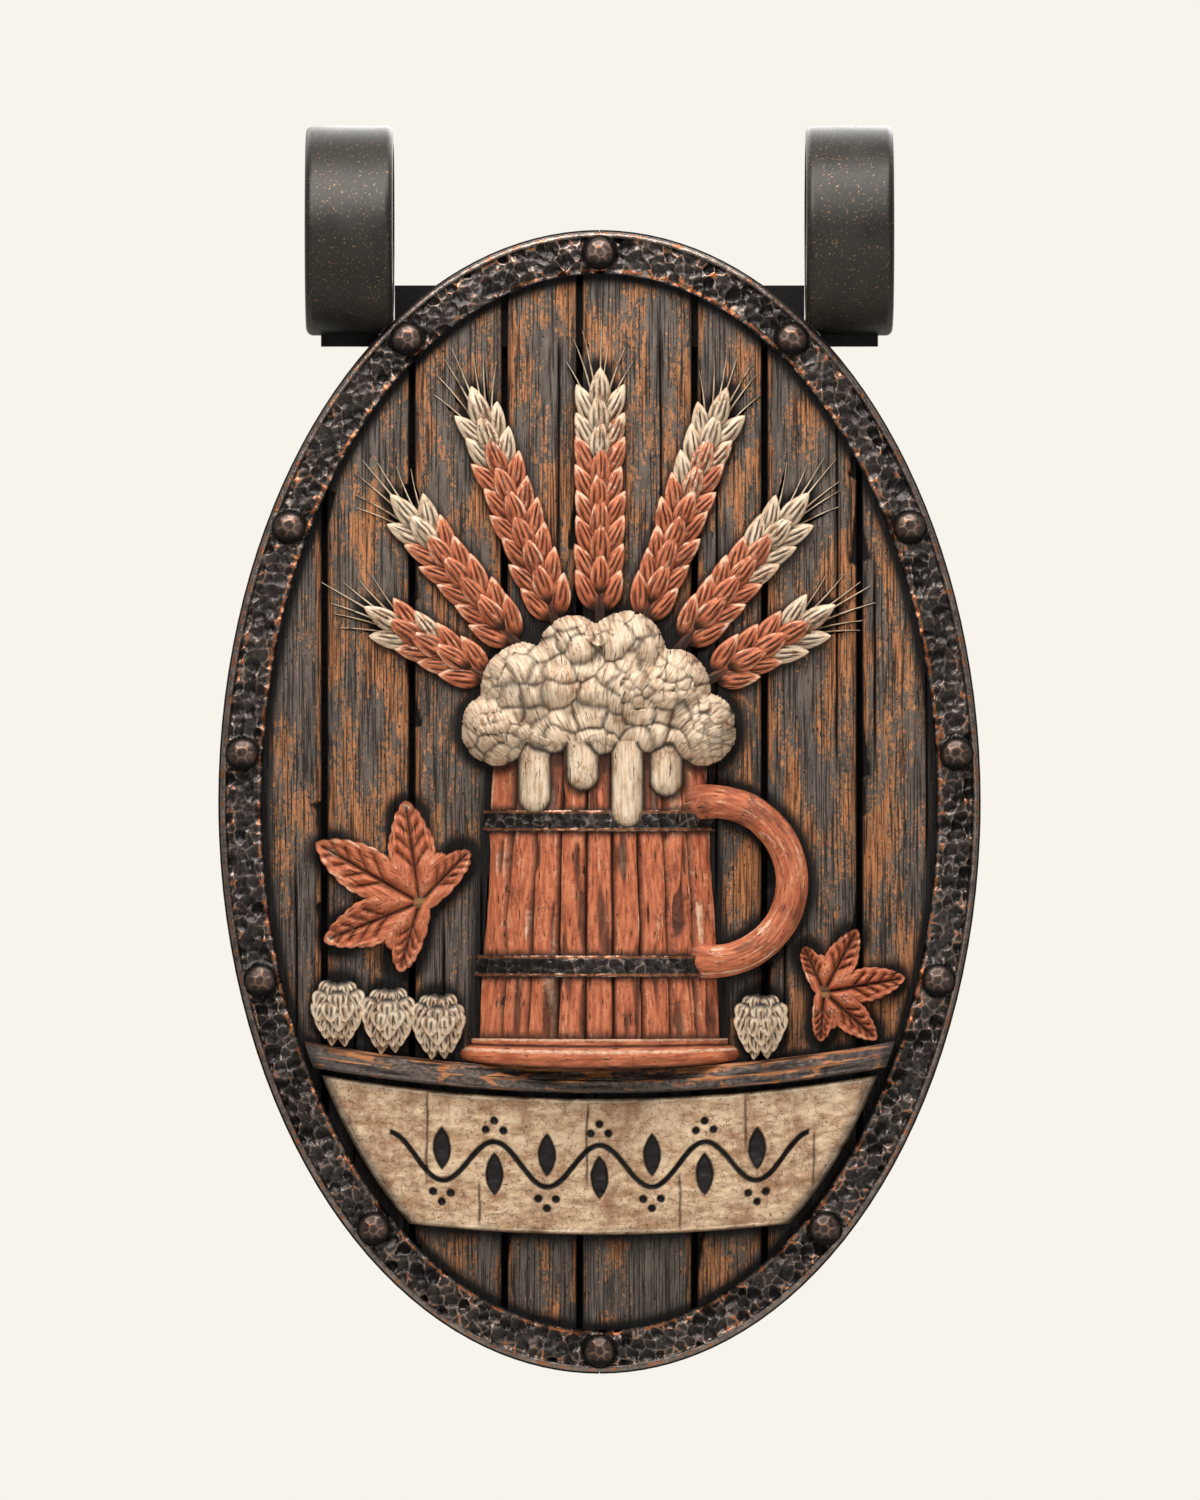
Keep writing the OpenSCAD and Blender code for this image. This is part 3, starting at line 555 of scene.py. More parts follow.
def ear_end(turn):
    """Reach of an ear, shorter the more it leans."""
    return EAR_REACH * (1 - 0.28 * (turn / 60) ** 2)


def ear_rows(turn):
    return int((ear_end(turn) - EAR_START - GRAIN_L) // GRAIN_PITCH)


def ear_tip(turn):
    """Distance from the lip's middle to the tip of the last grain."""
    return EAR_START + (ear_rows(turn) + 0.3) * GRAIN_PITCH + GRAIN_L


print("rows of grains:", [ear_rows(turn) for turn in EAR_TURNS])

# %% [markdown]
# How far is a point on the planks from the nearest foot of the carving? Capsules, circles and strips are
# close enough to answer that, and the answer becomes the painted shade, a dark halo round every foot.

# %% Distance to the carving
def capsule(u, v, start, end, radius):
    """Distance from a line with round ends."""
    step = np.array(end) - np.array(start)
    t = np.clip(((u - start[0]) * step[0] + (v - start[1]) * step[1]) / (step @ step), 0, 1)
    return np.hypot(u - start[0] - t * step[0], v - start[1] - t * step[1]) - radius


def rim_gap(u, v):
    """Distance in from the rim's inner edge."""
    q = np.hypot(u / FIELD_HALF[0], v / FIELD_HALF[1]) + 1e-9
    slope = np.hypot(u / FIELD_HALF[0] ** 2, v / FIELD_HALF[1] ** 2) / q
    return (1 - q) / np.maximum(slope, 1e-6)


def foam_gaps(u, v):
    return [np.hypot(u - x, v - y) - size for x, y, size in LUMPS]


def plant_gaps(u, v):
    gaps = []
    for turn in EAR_TURNS:
        tip_at = ear_tip(turn)
        start, neck, tip = (LIP + d * heading(turn) for d in (EAR_START, tip_at - EAR_NECK, tip_at - 4))
        gaps.append(capsule(u, v, start, neck, 0.85 * GRAIN_W))
        gaps.append(capsule(u, v, neck, tip, 0.3 * GRAIN_W))
    for at, turn, length in LEAVES.values():
        for lobe_turn, lobe in zip(LOBE_TURNS, LOBES):
            tip = np.array(at) + 0.85 * lobe * length * heading(turn + lobe_turn)
            gaps.append(capsule(u, v, at, tip, 0.13 * length))
    return gaps + [capsule(u, v, (x, y + 14), (x, y + CONE_L - 14), 0.45 * CONE_D) for x, y in CONES]


def carving_gap(u, v):
    """Distance from the nearest foot of the carving, the ledge, the banner or the rim."""
    line = v - sag(u)
    strip = np.maximum(line - LEDGE_TOP, BANNER_LOW - line)
    half = MUG_LOW_HALF + (MUG_TOP_HALF - MUG_LOW_HALF) * (v - MUG_FOOT) / (MUG_LIP - MUG_FOOT)
    body = most(np.abs(u) - half, v - MUG_LIP, LEDGE_TOP - v)
    handle = np.abs(np.hypot(u - HANDLE_AT[0], v - HANDLE_AT[1]) - HANDLE_R) - HANDLE_D / 2
    handle = np.where(u > MUG_TOP_HALF - 10, handle, 99.0)
    gaps = [rim_gap(u, v), strip, body, handle]
    return np.min(gaps + foam_gaps(u, v) + plant_gaps(u, v), axis=0)


print("gap left of the tankard:", carving_gap(np.array([-200.0]), np.array([60.0])).round(1))

# %% [markdown]
# Old boards split along the grain as they dry, and their edges break out in long wedges. Each board draws
# its own from one fixed random series, so that no two boards are alike and yet every run gives the same sign.

# %% Splits and notches
SPLIT_PITCH = 30.0
NOTCH_SIDES = (0, 0, 0, 1, 1, 1)


def draw_splits(low, high, reach, rng):
    """Places across a board for its splits, each with its lower and upper end."""
    count = int((high - low) // SPLIT_PITCH)
    spots = [low + (k + rng.uniform(0.25, 0.75)) * (high - low) / count for k in range(count)]
    starts = [rng.uniform(-1.0, 0.4) * reach for _ in spots]
    return [(c, s, s + rng.uniform(0.35, 0.9) * reach) for c, s in zip(spots, starts)]


def draw_notches(reach, rng):
    """Wedges broken out of both edges: side, start along the board, length and depth."""
    notches = []
    for side in NOTCH_SIDES:
        start = rng.uniform(-0.85, 0.8) * reach
        length = rng.choice([-1, 1]) * rng.uniform(25, 60)
        notches.append((side, start, length, rng.uniform(3.5, 8)))
    return notches


tried = draw_splits(0.0, 70.0, 400.0, np.random.default_rng(1))
print("splits of a trial board 70 mm wide:", np.round(tried, 1).tolist())

# %% [markdown]
# The boards are old and hand planed. Each one is a grid that follows the oval at its ends, with columns set
# close together at the edges and along splits, so that few points still give crisp cracks. Edges are
# rounded over and chipped, long soft grain stands proud, and the splits wander as real ones do.

# %% Worn timber
SPLIT_STEPS = (-1.3, -0.6, 0.0, 0.6, 1.3)
SPLIT_END = 50.0
EDGE_STEPS = np.array([0.0, 0.8, 1.8, 3.2, 5.0])
COLUMN_PITCH = 1.9


def rounded(gap, radius):
    """Fall of a face towards an edge that is rounded over, by the distance from that edge."""
    return np.sqrt(np.maximum(radius ** 2 - np.maximum(radius - gap, 0) ** 2, 0)) - radius


def timber(low, high, reach, rows, splits, notches, seed):
    """Across and along places on a worn board's face, its relief, its dark joints and painted shade, and its
    rubbed edges.
    """
    cracks = [c + d for c, _, _ in splits for d in SPLIT_STEPS]
    inner = np.arange(low + 7.0, high - 6.5, COLUMN_PITCH)
    inner = [c for c in inner if all(abs(c - s[0]) > 2.2 for s in splits)]
    columns = np.unique(np.concatenate([low + EDGE_STEPS, high - EDGE_STEPS, inner, cracks]))
    across, share = np.meshgrid(columns, np.linspace(-1, 1, rows))
    along = share * reach(across)
    gap = np.minimum(across - low, high - across)
    side = np.where(across - low < high - across, 5.0, 65.0)
    relief = rounded(gap, 1.0 + 3.8 * ease(0.6, 0.95, noise(along, side, (24.0, 10.0), seed)))
    relief += 1.7 * (rough(across, along, (4.4, 110.0), seed + 3) - 0.5)
    # Dark joints, with a wider painted shade beside each edge, and painted shade in splits and notches below.
    dark = most(0.95 * stripe(gap, 1.4), 0.4 * stripe(gap, 6.0))
    for place, start, end in splits:
        opened = ease(start, start + SPLIT_END, along) * ease(-end, SPLIT_END - end, -along)
        off = np.abs(across - place)
        relief -= 4.5 * opened * np.maximum(1 - off, 0)
        dark = most(dark, opened * stripe(off, 1.2))
    for far_side, start, length, depth in notches:
        t = (along - start) / length
        open_to = depth * np.clip(1 - t, 0, 1) * ease(-0.06, 0.02, t)
        broken = ease(-0.3, 1.0, open_to - (high - across if far_side else across - low))
        relief -= 5.0 * broken
        dark = most(dark, broken)
    wander = 3.0 * (rough(along, along * 0 + seed, (120.0, 50.0), seed + 6) - 0.5)
    rubbed = stripe(gap - 2.6, 1.5) * ease(0.3, 0.6, noise(along, side, (38.0, 10.0), seed + 8))
    return across + wander * ease(0, 9, gap), along, relief, dark, rubbed


print("columns across a worn edge:", EDGE_STEPS.tolist(), "and across a split:", SPLIT_STEPS)

# %% [markdown]
# The paint on the planks is charcoal, flaked off along the grain down to orange wood. Three textures of
# different size and stretch are added up and cut at a level, which gives flakes with ragged ends, as a
# single texture never does. Thin black lines are the open grain, and glaze darkens every hollow,
# partly as grime and partly as painted shade.

# %% Finish of the worn boards
def worn_wood(name, upright, bare_from, deep, fair, pale):
    """Flaked charcoal paint over bare wood in three tones, with the grain upright or level."""
    f = Finish(name, Specular_IOR_Level=0.25)

    def along_grain(stretch):
        return f.stretched(1, stretch) if upright else f.stretched(stretch, 1)

    streak = f.noise(3.4, along_grain(0.045), 4.0, 0.6)
    patch = f.noise(26.0, along_grain(0.34), 4.0, 0.6)
    flake = f.noise(2.8, along_grain(0.62), 7.0, 0.86)
    flaked = f.total((streak, 0.17), (patch, 0.38), (flake, 0.45), (f.paint("wear"), 0.1))
    bare = f.level(flaked, bare_from, bare_from + 0.012)
    cloud = f.level(f.noise(7.0, along_grain(0.2), 6.0, 0.75), 0.32, 0.68)
    paint = f.mix(cloud, shade(70, 63, 57), shade(108, 97, 88))
    wood = f.mix(f.level(f.noise(2.2, along_grain(0.1), 5.0), 0.35, 0.65), deep, fair)
    edge = f.math("SUBTRACT", bare, f.level(flaked, bare_from + 0.01, bare_from + 0.03))
    wood = f.mix(f.math("MAXIMUM", f.level(flake, 0.58, 0.68), edge), wood, pale)
    line = f.level(f.noise(1.35, along_grain(0.022), 3.0), 0.48, 0.40)
    speck = f.level(f.noise(1.8, along_grain(0.3), 2.0), 0.34, 0.29)
    dark = f.math("MAXIMUM", f.math("MULTIPLY", line, 0.85), speck)
    colour = f.mix(dark, f.mix(bare, paint, wood), shade(27, 21, 18))
    # Grime and painted shade: glaze mixes the colour towards near black.
    f.set(Base_Color=f.mix(f.paint("glaze"), colour, SOOT_AND_SHADE), Roughness=f.level(bare, 0, 1, 0.55, 0.8))
    f.bump(f.total((bare, -0.45), (dark, -0.8), (flake, 0.5)), 0.7, 0.9)
    return f.material


TANS = (shade(120, 77, 50), shade(182, 119, 75), shade(214, 156, 110))
BROWNS = (shade(88, 64, 46), shade(136, 102, 74), shade(160, 124, 92))
plank_finish = worn_wood("charcoal_planks", True, 0.51, *TANS)
board_finish = worn_wood("bare_boards", False, 0.46, *BROWNS)
print("nodes in the planks' finish:", len(plank_finish.node_tree.nodes))

# %% [markdown]
# Eight upright planks fill the oval, of uneven widths and with open joints between them. Each piece takes
# its edges from its packed node and a painted shade from the layout, a dark halo that lies along the rim,
# the banner and the carving where their shade would fall.

# %% Front planks
plank_boxes = [bench_box(f"front_plank_{k}") for k in range(1, 9)]
WOOD_HALF = np.array([plank_boxes[-1][1][0], plank_boxes[3][1][1]])
PLANK_BACK = plank_boxes[3][0][2]
PLANK_ROWS = 400
split_rng = np.random.default_rng(11)


def half_chord(at, half_here, half_there):
    """Half the oval's length, the other way, at a distance from its middle; never quite 0."""
    return half_there * np.sqrt(np.maximum(1 - (at / half_here) ** 2, 0.0006))


plank_reach = partial(half_chord, half_here=WOOD_HALF[0], half_there=WOOD_HALF[1])
for k, (low, high) in enumerate(plank_boxes, start=1):
    splits = draw_splits(low[0], high[0], high[1], split_rng)
    notches = draw_notches(high[1], split_rng)
    u, v, relief, dark, rubbed = timber(low[0], high[0], plank_reach, PLANK_ROWS, splits, notches, 20 + k)
    # Painted shade: a dark halo near the feet of the carving, the ledge, the banner and the rim's inner edge.
    shade_halo = most(fade(2.0, 12.0, carving_gap(u, v)), fade(3.5, 9.5, rim_gap(u, v)))
    part = slab(u, v, relief, PLANK_BACK, glaze=1 - (1 - dark) * (1 - 0.99 * shade_halo), wear=rubbed)
    piece(f"worn_plank_{k}", [part], plank_finish, [f"front_plank_{k}"])

# %% [markdown]
# Behind the planks lie seven level boards, nailed across them. Nobody painted these, so the same timber
# function runs along u instead of v, is turned over to face the wall, and takes a browner finish.

# %% Back boards
WOOD_BACK = bench_box("back_board_4")[0][2]
BOARD_ROWS = 220
SHUT = 0.8
board_reach = partial(half_chord, half_here=WOOD_HALF[1], half_there=WOOD_HALF[0])
for k in range(1, 8):
    low, high = bench_box(f"back_board_{k}")
    splits = draw_splits(low[1], high[1], high[0], split_rng)
    edges = (low[1] - SHUT, high[1] + SHUT)
    v, u, relief, dark, rubbed = timber(*edges, board_reach, BOARD_ROWS, splits, [], 40 + k)
    # Painted shade: darker towards the rim at the back.
    shade_halo = 0.9 * fade(0.5, 11.0, rim_gap(u, v))
    glaze = 1 - (1 - dark) * (1 - shade_halo)
    part = slab(u.T, v.T, relief.T, WOOD_BACK - PLANK_BACK, glaze=glaze.T, wear=rubbed.T)
    part = turned_over(part, -WOOD_BACK)
    piece(f"worn_board_{k}", [part], board_finish, [f"back_board_{k}"])

# %% [markdown]
# Hammering leaves round, shallow blows that overlap, with sharp ridges where two of them meet. Blender's
# cell texture would give an even honeycomb. Here each blow has its own place, reach and depth, and the ground
# under all of them is bent by noise. The deepest blow at a point gives the surface, and where the next one
# is nearly as deep there is a seam.

# %% Hammer blows
def hammer(u, v, size, seed):
    """Depth of overlapping round blows from 0 to 1, the rubbed ridges between them, and all their seams."""
    x = u + 0.6 * size * (rough(u, v, (size, size), seed) - 0.5)
    y = v + 0.6 * size * (rough(u, v, (size, size), seed + 5) - 0.5)
    i, j = np.floor(x / size).astype(np.int64), np.floor(y / size).astype(np.int64)
    deepest, second = np.zeros(x.shape), np.zeros(x.shape)
    for di in (-1, 0, 1):
        for dj in (-1, 0, 1):
            ci, cj = i + di, j + dj
            du = x / size - ci - 0.1 - 0.8 * scatter(ci, cj, seed + 9)
            dv = y / size - cj - 0.1 - 0.8 * scatter(ci, cj, seed + 10)
            reach = 0.68 + 0.4 * scatter(ci, cj, seed + 11)
            deep = (0.35 + 0.65 * scatter(ci, cj, seed + 12)) * (1 - (du ** 2 + dv ** 2) / reach ** 2)
            second = np.maximum(np.minimum(deep, deepest), second)
            deepest = np.maximum(deep, deepest)
    pit = np.clip(deepest + 0.3 * (rough(x, y, (0.45 * size, 0.45 * size), seed + 20) - 0.5), 0, 1)
    rubbed = ease(0.3, 0.6, rough(u, v, (1.2 * size, 1.2 * size), seed + 27))
    seam = stripe(deepest - second, 0.14)
    return pit, seam * (1 - 0.6 * pit) * (0.3 + 0.7 * rubbed), seam


RIM_BLOW = 8.6
tried = hammer(*np.meshgrid(np.arange(60.0), np.arange(60.0)), RIM_BLOW, 60)
print("mean depth, ridge and seam:", [round(float(value.mean()), 2) for value in tried])

# %% [markdown]
# The rim is thick black iron, hammered all over on the face, with the black worn to copper brown on many
# ridges and along both edges. A displacement texture would need a dense mesh everywhere. Sweeping one
# profile round the oval puts the points only where the hammer fell. Broad swellings and a finer crumple lie
# over the blows, and sunk seats wait for the rivets.

# %% Hammered rim
RIVET_TURNS = [90, 122.5, 150, 175, 199, 231, 270]
RIVET_TURNS += [180 - t for t in RIVET_TURNS[1:-1]]
RIVET_LINE = FIELD_HALF + RIM_W / 2
RIVETS = [RIVET_LINE * (math.cos(math.radians(t)), math.sin(math.radians(t))) for t in RIVET_TURNS]
SEAT_R, SEAT_DEPTH = 13.5, 1.5
ROUNDING = 4.5
RIM_STEPS = 2310


def rim_profile():
    """Distance out from the inner edge, and height, from the inner foot over the face to the outer foot."""
    turn = np.radians(np.linspace(0, 90, 7))[1:]
    face = np.linspace(3.0, RIM_W - ROUNDING, 31)
    out = np.concatenate([[0, 0, 0, 0.5, 1.6], face, RIM_W - ROUNDING + ROUNDING * np.sin(turn), [RIM_W]])
    lip = RIM_T - 0.8 * ROUNDING * (1 - np.cos(turn))
    rise = [0, 0.45 * RIM_T, RIM_T - 2, RIM_T - 0.7, RIM_T]
    return out, np.concatenate([rise, face * 0 + RIM_T, lip, [0]])


out, high = rim_profile()
out, around = np.meshgrid(out, np.radians(np.linspace(0, 360, RIM_STEPS + 1))[:-1])
u = (FIELD_HALF[0] + out) * np.cos(around)
v = (FIELD_HALF[1] + out) * np.sin(around)
seat = np.min([np.hypot(u - x, v - y) for x, y in RIVETS], axis=0)
pit, ridge, _ = hammer(u, v, RIM_BLOW, 60)
pit = pit * (0.55 + 0.6 * noise(u, v, (17.0, 17.0), 66))
struck = ease(-0.5, 1.4, out) * fade(RIM_W - 6.0, RIM_W - 4.0, out) * ease(SEAT_R, SEAT_R + 2.0, seat)
w = high - 5.8 * pit * struck
w = w + np.where(high > 1, 0.7, 0.0) * (rough(u, v, (3.0, 3.0), 70) - 0.5)
w = w - 1.6 * struck * rough(u, v, (20.0, 20.0), 72)
w = w - SEAT_DEPTH * fade(SEAT_R - 1.0, SEAT_R + 0.8, seat) * (high > RIM_T - 0.5)
print("rim's lowest and highest point of the face:", w[:, 8:30].min().round(1), w.max().round(1))

# %% [markdown]
# Where the black wears off depends on the shape just made: hands and weather reach the ridges and the two
# edges, and most of all the ridges near an edge. The pits are darkened, partly as soot and partly as painted
# shade, and painted shade lies round the rivets' seats and down both flanks. These values are worked out once
# on the points, so they fit the relief exactly.

# %% Wear of the rim
ridge = ridge * struck
near_edge = most(fade(2.0, 12.0, out), ease(RIM_W - 15.0, RIM_W - 5.0, out))
edge_wear = most(0.4 * stripe(out - 3.0, 1.5), 0.5 * ease(RIM_W - 6.0, RIM_W - 2.6, out))
edge_wear = edge_wear * (0.4 + 0.5 * rough(u, v, (14.0, 14.0), 75))
lips = most(stripe(out - 3.0, 1.6), 0.5 * ease(RIM_W - 6.0, RIM_W - 2.8, out))
lips = lips * ease(0.15, 0.75, rough(u, v, (8.0, 8.0), 77))
# Soot and painted shade in the pits, and painted shade round the rivets' seats and along the inner and outer
# foot.
glaze = most(
    0.9 * ease(0.35, 0.85, pit) * struck,
    0.97 * fade(SEAT_R - 2.0, SEAT_R + 2.0, seat),
    0.97 * ease(RIM_W - 0.9, RIM_W - 0.2, out),
    0.97 * fade(0.6, 2.4, out),
)
wear = most(ridge * (0.4 + 0.4 * near_edge), edge_wear)
copper = most(ridge * (0.45 + 0.55 * near_edge), lips)
points, paint = on_points(u, v, w, wear=wear, glaze=glaze, copper=copper)
rim_part = (points, grid_faces(*u.shape, wrap_rows=True, wrap_cols=True), paint)
print("share of the rim that is worn:", (wear > 0.3).mean().round(2))

# %% [markdown]
# Black iron is not one colour. The hollows are darkened, partly as soot and partly as painted shade, the
# ridges shine grey where hands and weather rubbed them, and bare edges turn a warm copper brown. The
# wear value picks the grey, and a second texture breaks the copper up so that it never runs as
# an even line.

# %% Finish of the iron
def forged_iron(name, black, grey, copper_from, gloss, grain):
    """Black iron rubbed grey, with copper brown above a level and textures of a given grain."""
    f = Finish(name, Metallic=0.75, Specular_IOR_Level=0.5)
    wear = f.paint("wear")
    mottle = f.noise(grain, None, 5.0, 0.7)
    colour = f.mix(f.level(f.total((wear, 0.7), (mottle, 0.5)), 0.25, 0.9), black, grey)
    speckle = f.noise(0.8 * grain, None, 4.0, 0.65)
    bared = f.total((wear, 0.3), (f.paint("copper"), 0.5), (speckle, 1.0))
    colour = f.mix(f.level(bared, copper_from, copper_from + 0.12), colour, COPPER)
    # Soot and painted shade: glaze mixes the colour towards near black.
    f.set(Base_Color=f.mix(f.paint("glaze"), colour, shade(7, 6, 6)))
    dull = f.level(f.paint("glaze"), 0.7, 0.95, 0.0, 0.5)
    f.set(Roughness=f.math("ADD", f.level(mottle, 0.3, 0.7, gloss, gloss + 0.16), dull))
    f.bump(f.noise(1.8, None, 4.0, 0.7), 0.5, 0.8)
    return f.material


rim_finish = forged_iron("hammered_black_iron", shade(54, 48, 45), shade(204, 184, 170), 0.795, 0.17, 5.0)
piece("hammered_rim", [rim_part], rim_finish, ["front_rim"], crease=60)

# %% [markdown]
# A forged rivet head is a dome that a few hammer blows have left faceted: one flat on top, a ring of six
# below it and a steeper ring of eight. The lowest of those planes at each point gives the shape, and where
# two planes are nearly level there is an edge, which wears bright. The tails behind are made the same way.

# %% Rivets
def faceted_head(radius, height, seed):
    """Relief of a forged head, and the wear on its top and along its facets' edges."""
    turn = 1.75 + 0.5 * (scatter(np.int64(seed), np.int64(3), 5) - 0.5)
    planes = [(turn, 0.1, 0.985)]
    for count, slope, reach, start in ((6, 0.52, 1.14, turn), (8, 1.25, 1.7, turn + 0.4)):
        for k in range(count):
            planes.append((start + math.tau * k / count, slope, reach + 0.04 * math.sin(5 * k + seed)))

    def relief(a, b, share):
        x, y = a / radius, b / radius
        facets = [reach - slope * (x * math.cos(t) + y * math.sin(t)) for t, slope, reach in planes]
        levels = np.sort(facets, axis=0)
        dome = 1.02 * np.sqrt(np.maximum(1 - 0.97 * share ** 2.2, 0))
        w = height * np.clip(np.minimum(levels[0], dome), 0.0, 1.0)
        edge = stripe(levels[1] - levels[0], 0.03) * fade(0.6, 0.85, share)
        # Painted shade round the head's foot and over its lower half, and a little darker in the middle of
        # the top.
        soot_and_shade = most(0.9 * ease(0.72, 0.98, share), 0.92 * ease(0.05, 0.7, -y), 0.25 * fade(0.24, 0.38, share))
        return w, {"wear": 0.25 + 0.5 * edge, "copper": 0.45 * edge, "glaze": soot_and_shade}

    return relief


def raised(part, w):
    """The same part, farther out of the planks."""
    points, faces, paint = part
    return points + np.array([0, 0, w]), faces, paint


HEAD_R, HEAD_H = 13.0, bench_box("rim_rivets")[1][2] - RIM_T + SEAT_DEPTH
TAIL_R, TAIL_H = 6.5, 4.0
TAIL_BASE = bench_box("rivet_roves")[0][2]
rivet_finish = forged_iron("forged_rivets", shade(50, 39, 34), shade(144, 122, 110), 0.88, 0.24, 5.0)
rivet_parts = []
for k, at in enumerate(RIVETS):
    head = fan(circle(HEAD_R, 60), (0, 0), 18, faceted_head(HEAD_R, HEAD_H, k), -4.0, at)
    tail = fan(circle(TAIL_R, 40), (0, 0), 8, faceted_head(TAIL_R, TAIL_H, k + 40), -1.0, at)
    rivet_parts += [raised(head, RIM_T - SEAT_DEPTH), turned_over(tail, -TAIL_BASE)]
piece("forged_rivets", rivet_parts, rivet_finish, ["rim_rivets"], crease=9)
print("rivets:", len(RIVETS), "head height:", round(HEAD_H, 1))

# %% [markdown]
# The carving is painted limewood: russet and cream, with the brush and the chisel both running along each
# form. Every carved piece therefore carries its own flow, a pair of coordinates across and along its
# strokes, and the finish stretches its textures along it. Tone chooses russet or cream, glaze
# fills the cuts and the feet of forms with brown-black, partly as grime and partly as painted shade, and
# wear makes the high edges pale, partly as rubbed paint and partly as painted highlight.

# %% Finish of the carved paint
def carved_paint(name):
    """Russet and cream paint that follows the strokes, with dark cuts, rubbed edges, painted shade and
    painted highlight.
    """
    f = Finish(name, Specular_IOR_Level=0.3)
    streak = f.noise(2.8, f.flow(0.14), 4.0, 0.6)
    fleck = f.noise(2.4, f.flow(0.5), 6.0, 0.75)
    worn = f.total((f.noise(26.0, None, 3.0), 0.45), (fleck, 0.55))
    russet = f.mix(f.level(streak, 0.32, 0.68), shade(158, 80, 50), shade(206, 122, 84))
    russet = f.mix(f.level(worn, 0.55, 0.62, 0.0, 0.7), russet, shade(214, 150, 112))
    russet = f.mix(f.level(worn, 0.46, 0.39, 0.0, 0.7), russet, shade(112, 62, 44))
    cream = f.mix(f.level(streak, 0.3, 0.66), shade(178, 146, 114), shade(228, 208, 182))
    cream = f.mix(f.level(worn, 0.47, 0.39, 0.0, 0.8), cream, shade(152, 104, 70))
    tone = f.level(f.total((f.paint("tone"), 1.0), (fleck, 0.7)), 0.72, 0.8)
    colour = f.mix(tone, russet, cream)
    cut = f.math("MULTIPLY", f.level(f.noise(2.0, f.flow(0.12), 2.0), 0.375, 0.31), 0.9)
    speck = f.level(f.noise(2.1, f.flow(0.45), 2.0), 0.315, 0.275)
    colour = f.mix(f.math("MAXIMUM", cut, speck), colour, shade(46, 25, 17))
    # Rubbed paint and painted highlight: wear pales the colour.
    rubbed = f.level(f.total((f.paint("wear"), 0.8), (fleck, 1.2)), 0.85, 1.3, 0.0, 0.75)
    colour = f.mix(rubbed, colour, shade(232, 200, 168))
    # Grime and painted shade: glaze mixes the colour towards near black.
    f.set(Base_Color=f.mix(f.paint("glaze"), colour, SOOT_AND_SHADE), Roughness=f.level(fleck, 0.3, 0.7, 0.5, 0.72))
    f.bump(f.total((streak, 0.8), (fleck, 0.5), (cut, -0.8), (speck, -0.6)), 0.8, 0.9)
    return f.material


carved_finish = carved_paint("carved_paint")
print("carving finish nodes:", len(carved_finish.node_tree.nodes))

# %% [markdown]
# Ledge and banner are strips that sag towards the middle and end at the rim. A straight box bent by a
# modifier would stretch their grain and leave square ends, so a helper lays rows along the curve itself and
# stops them short of the rim. Broad chisel cuts cover both strips. Each cut belongs to one of many scattered
# points, and two cuts meet in a ridge half way between their points.

# %% Strips and chisel cuts
STRIP_HALF = 240.0


def strip_places(levels, end_gap, step):
    """u and v on rows that follow the sagging curve and stop short of the rim."""
    share = np.linspace(-1, 1, int(2 * STRIP_HALF / step))
    u, v = np.meshgrid(share * 200.0, levels)
    for _ in range(6):
        reach = half_chord(v, FIELD_HALF[1] - end_gap, FIELD_HALF[0] - end_gap)
        u = share[None, :] * reach
        v = levels[:, None] + sag(u)
    return u, v


def chisel_cuts(x, y, size, seed):
    """Distance from the ridge round a cut, as the lead over the next cut, and the cut's own number."""
    i, j = np.floor(x / size).astype(np.int64), np.floor(y / size).astype(np.int64)
    near = np.full(x.shape, 1e9)
    second = near.copy()
    own = np.zeros(x.shape)
    for di in (-1, 0, 1):
        for dj in (-1, 0, 1):
            ci, cj = i + di, j + dj
            du = x - (ci + 0.1 + 0.8 * scatter(ci, cj, seed)) * size
            dv = y - (cj + 0.1 + 0.8 * scatter(ci, cj, seed + 1)) * size
            d = np.hypot(du, dv)
            closer = d < near
            second = np.where(closer, near, np.minimum(second, d))
            own = np.where(closer, scatter(ci, cj, seed + 2), own)
            near = np.where(closer, d, near)
    return second - near, own


LET_IN = -0.8
LEDGE_END, BANNER_END = 4.0, 8.0
ledge_u, _ = strip_places(np.array([LEDGE_LOW]), LEDGE_END, 1.0)
print("half length of the ledge at its foot:", ledge_u.max().round(1))

# %% [markdown]
# The ledge under the carving is one hewn strip of wood. A bevelled curve would give the strip, but no points
# to cut into. So a section runs along it, from its under edge round the front to its top, and the chisel
# cuts bite into that. Its two long edges are rubbed bare.

# %% Ledge
LEDGE_T = bench_box("banner_ledge")[1][2]
# Shares of the ledge's thickness and height at each corner of its section.
SECTION = np.array([
    [0, 0], [0.6, 0], [0.9, 0.05], [1, 0.14], [1, 0.46],
    [0.9, 0.58], [0.56, 0.84], [0.44, 0.97], [0.3, 1], [0, 1],
])
FRONT_EDGE, TOP_EDGE = 4.2, 6.6
corner = np.linspace(0, len(SECTION) - 1, 55)
out, rise = (np.interp(corner, range(len(SECTION)), side) for side in SECTION.T)
u, v = strip_places(LEDGE_LOW + rise * LEDGE_H, LEDGE_END, 1.4)
corner, out = corner[:, None], out[:, None] * LEDGE_T
walk = np.broadcast_to(corner * 4.5, u.shape)
bent = u + 14 * (rough(u, walk, (30.0, 11.0), 88) - 0.5)
lead, own = chisel_cuts(bent * 0.24, walk, 11.0, 90)
grain = rough(u, walk, (46.0, 2.6), 97)
chip = ease(0.6, 0.9, noise(u, walk, (17.0, 8.0), 95))
hewn = 3.4 * ease(0.0, 7.0, lead) * (own - 0.75) + 2.2 * (grain - 0.5) - 2.2 * chip
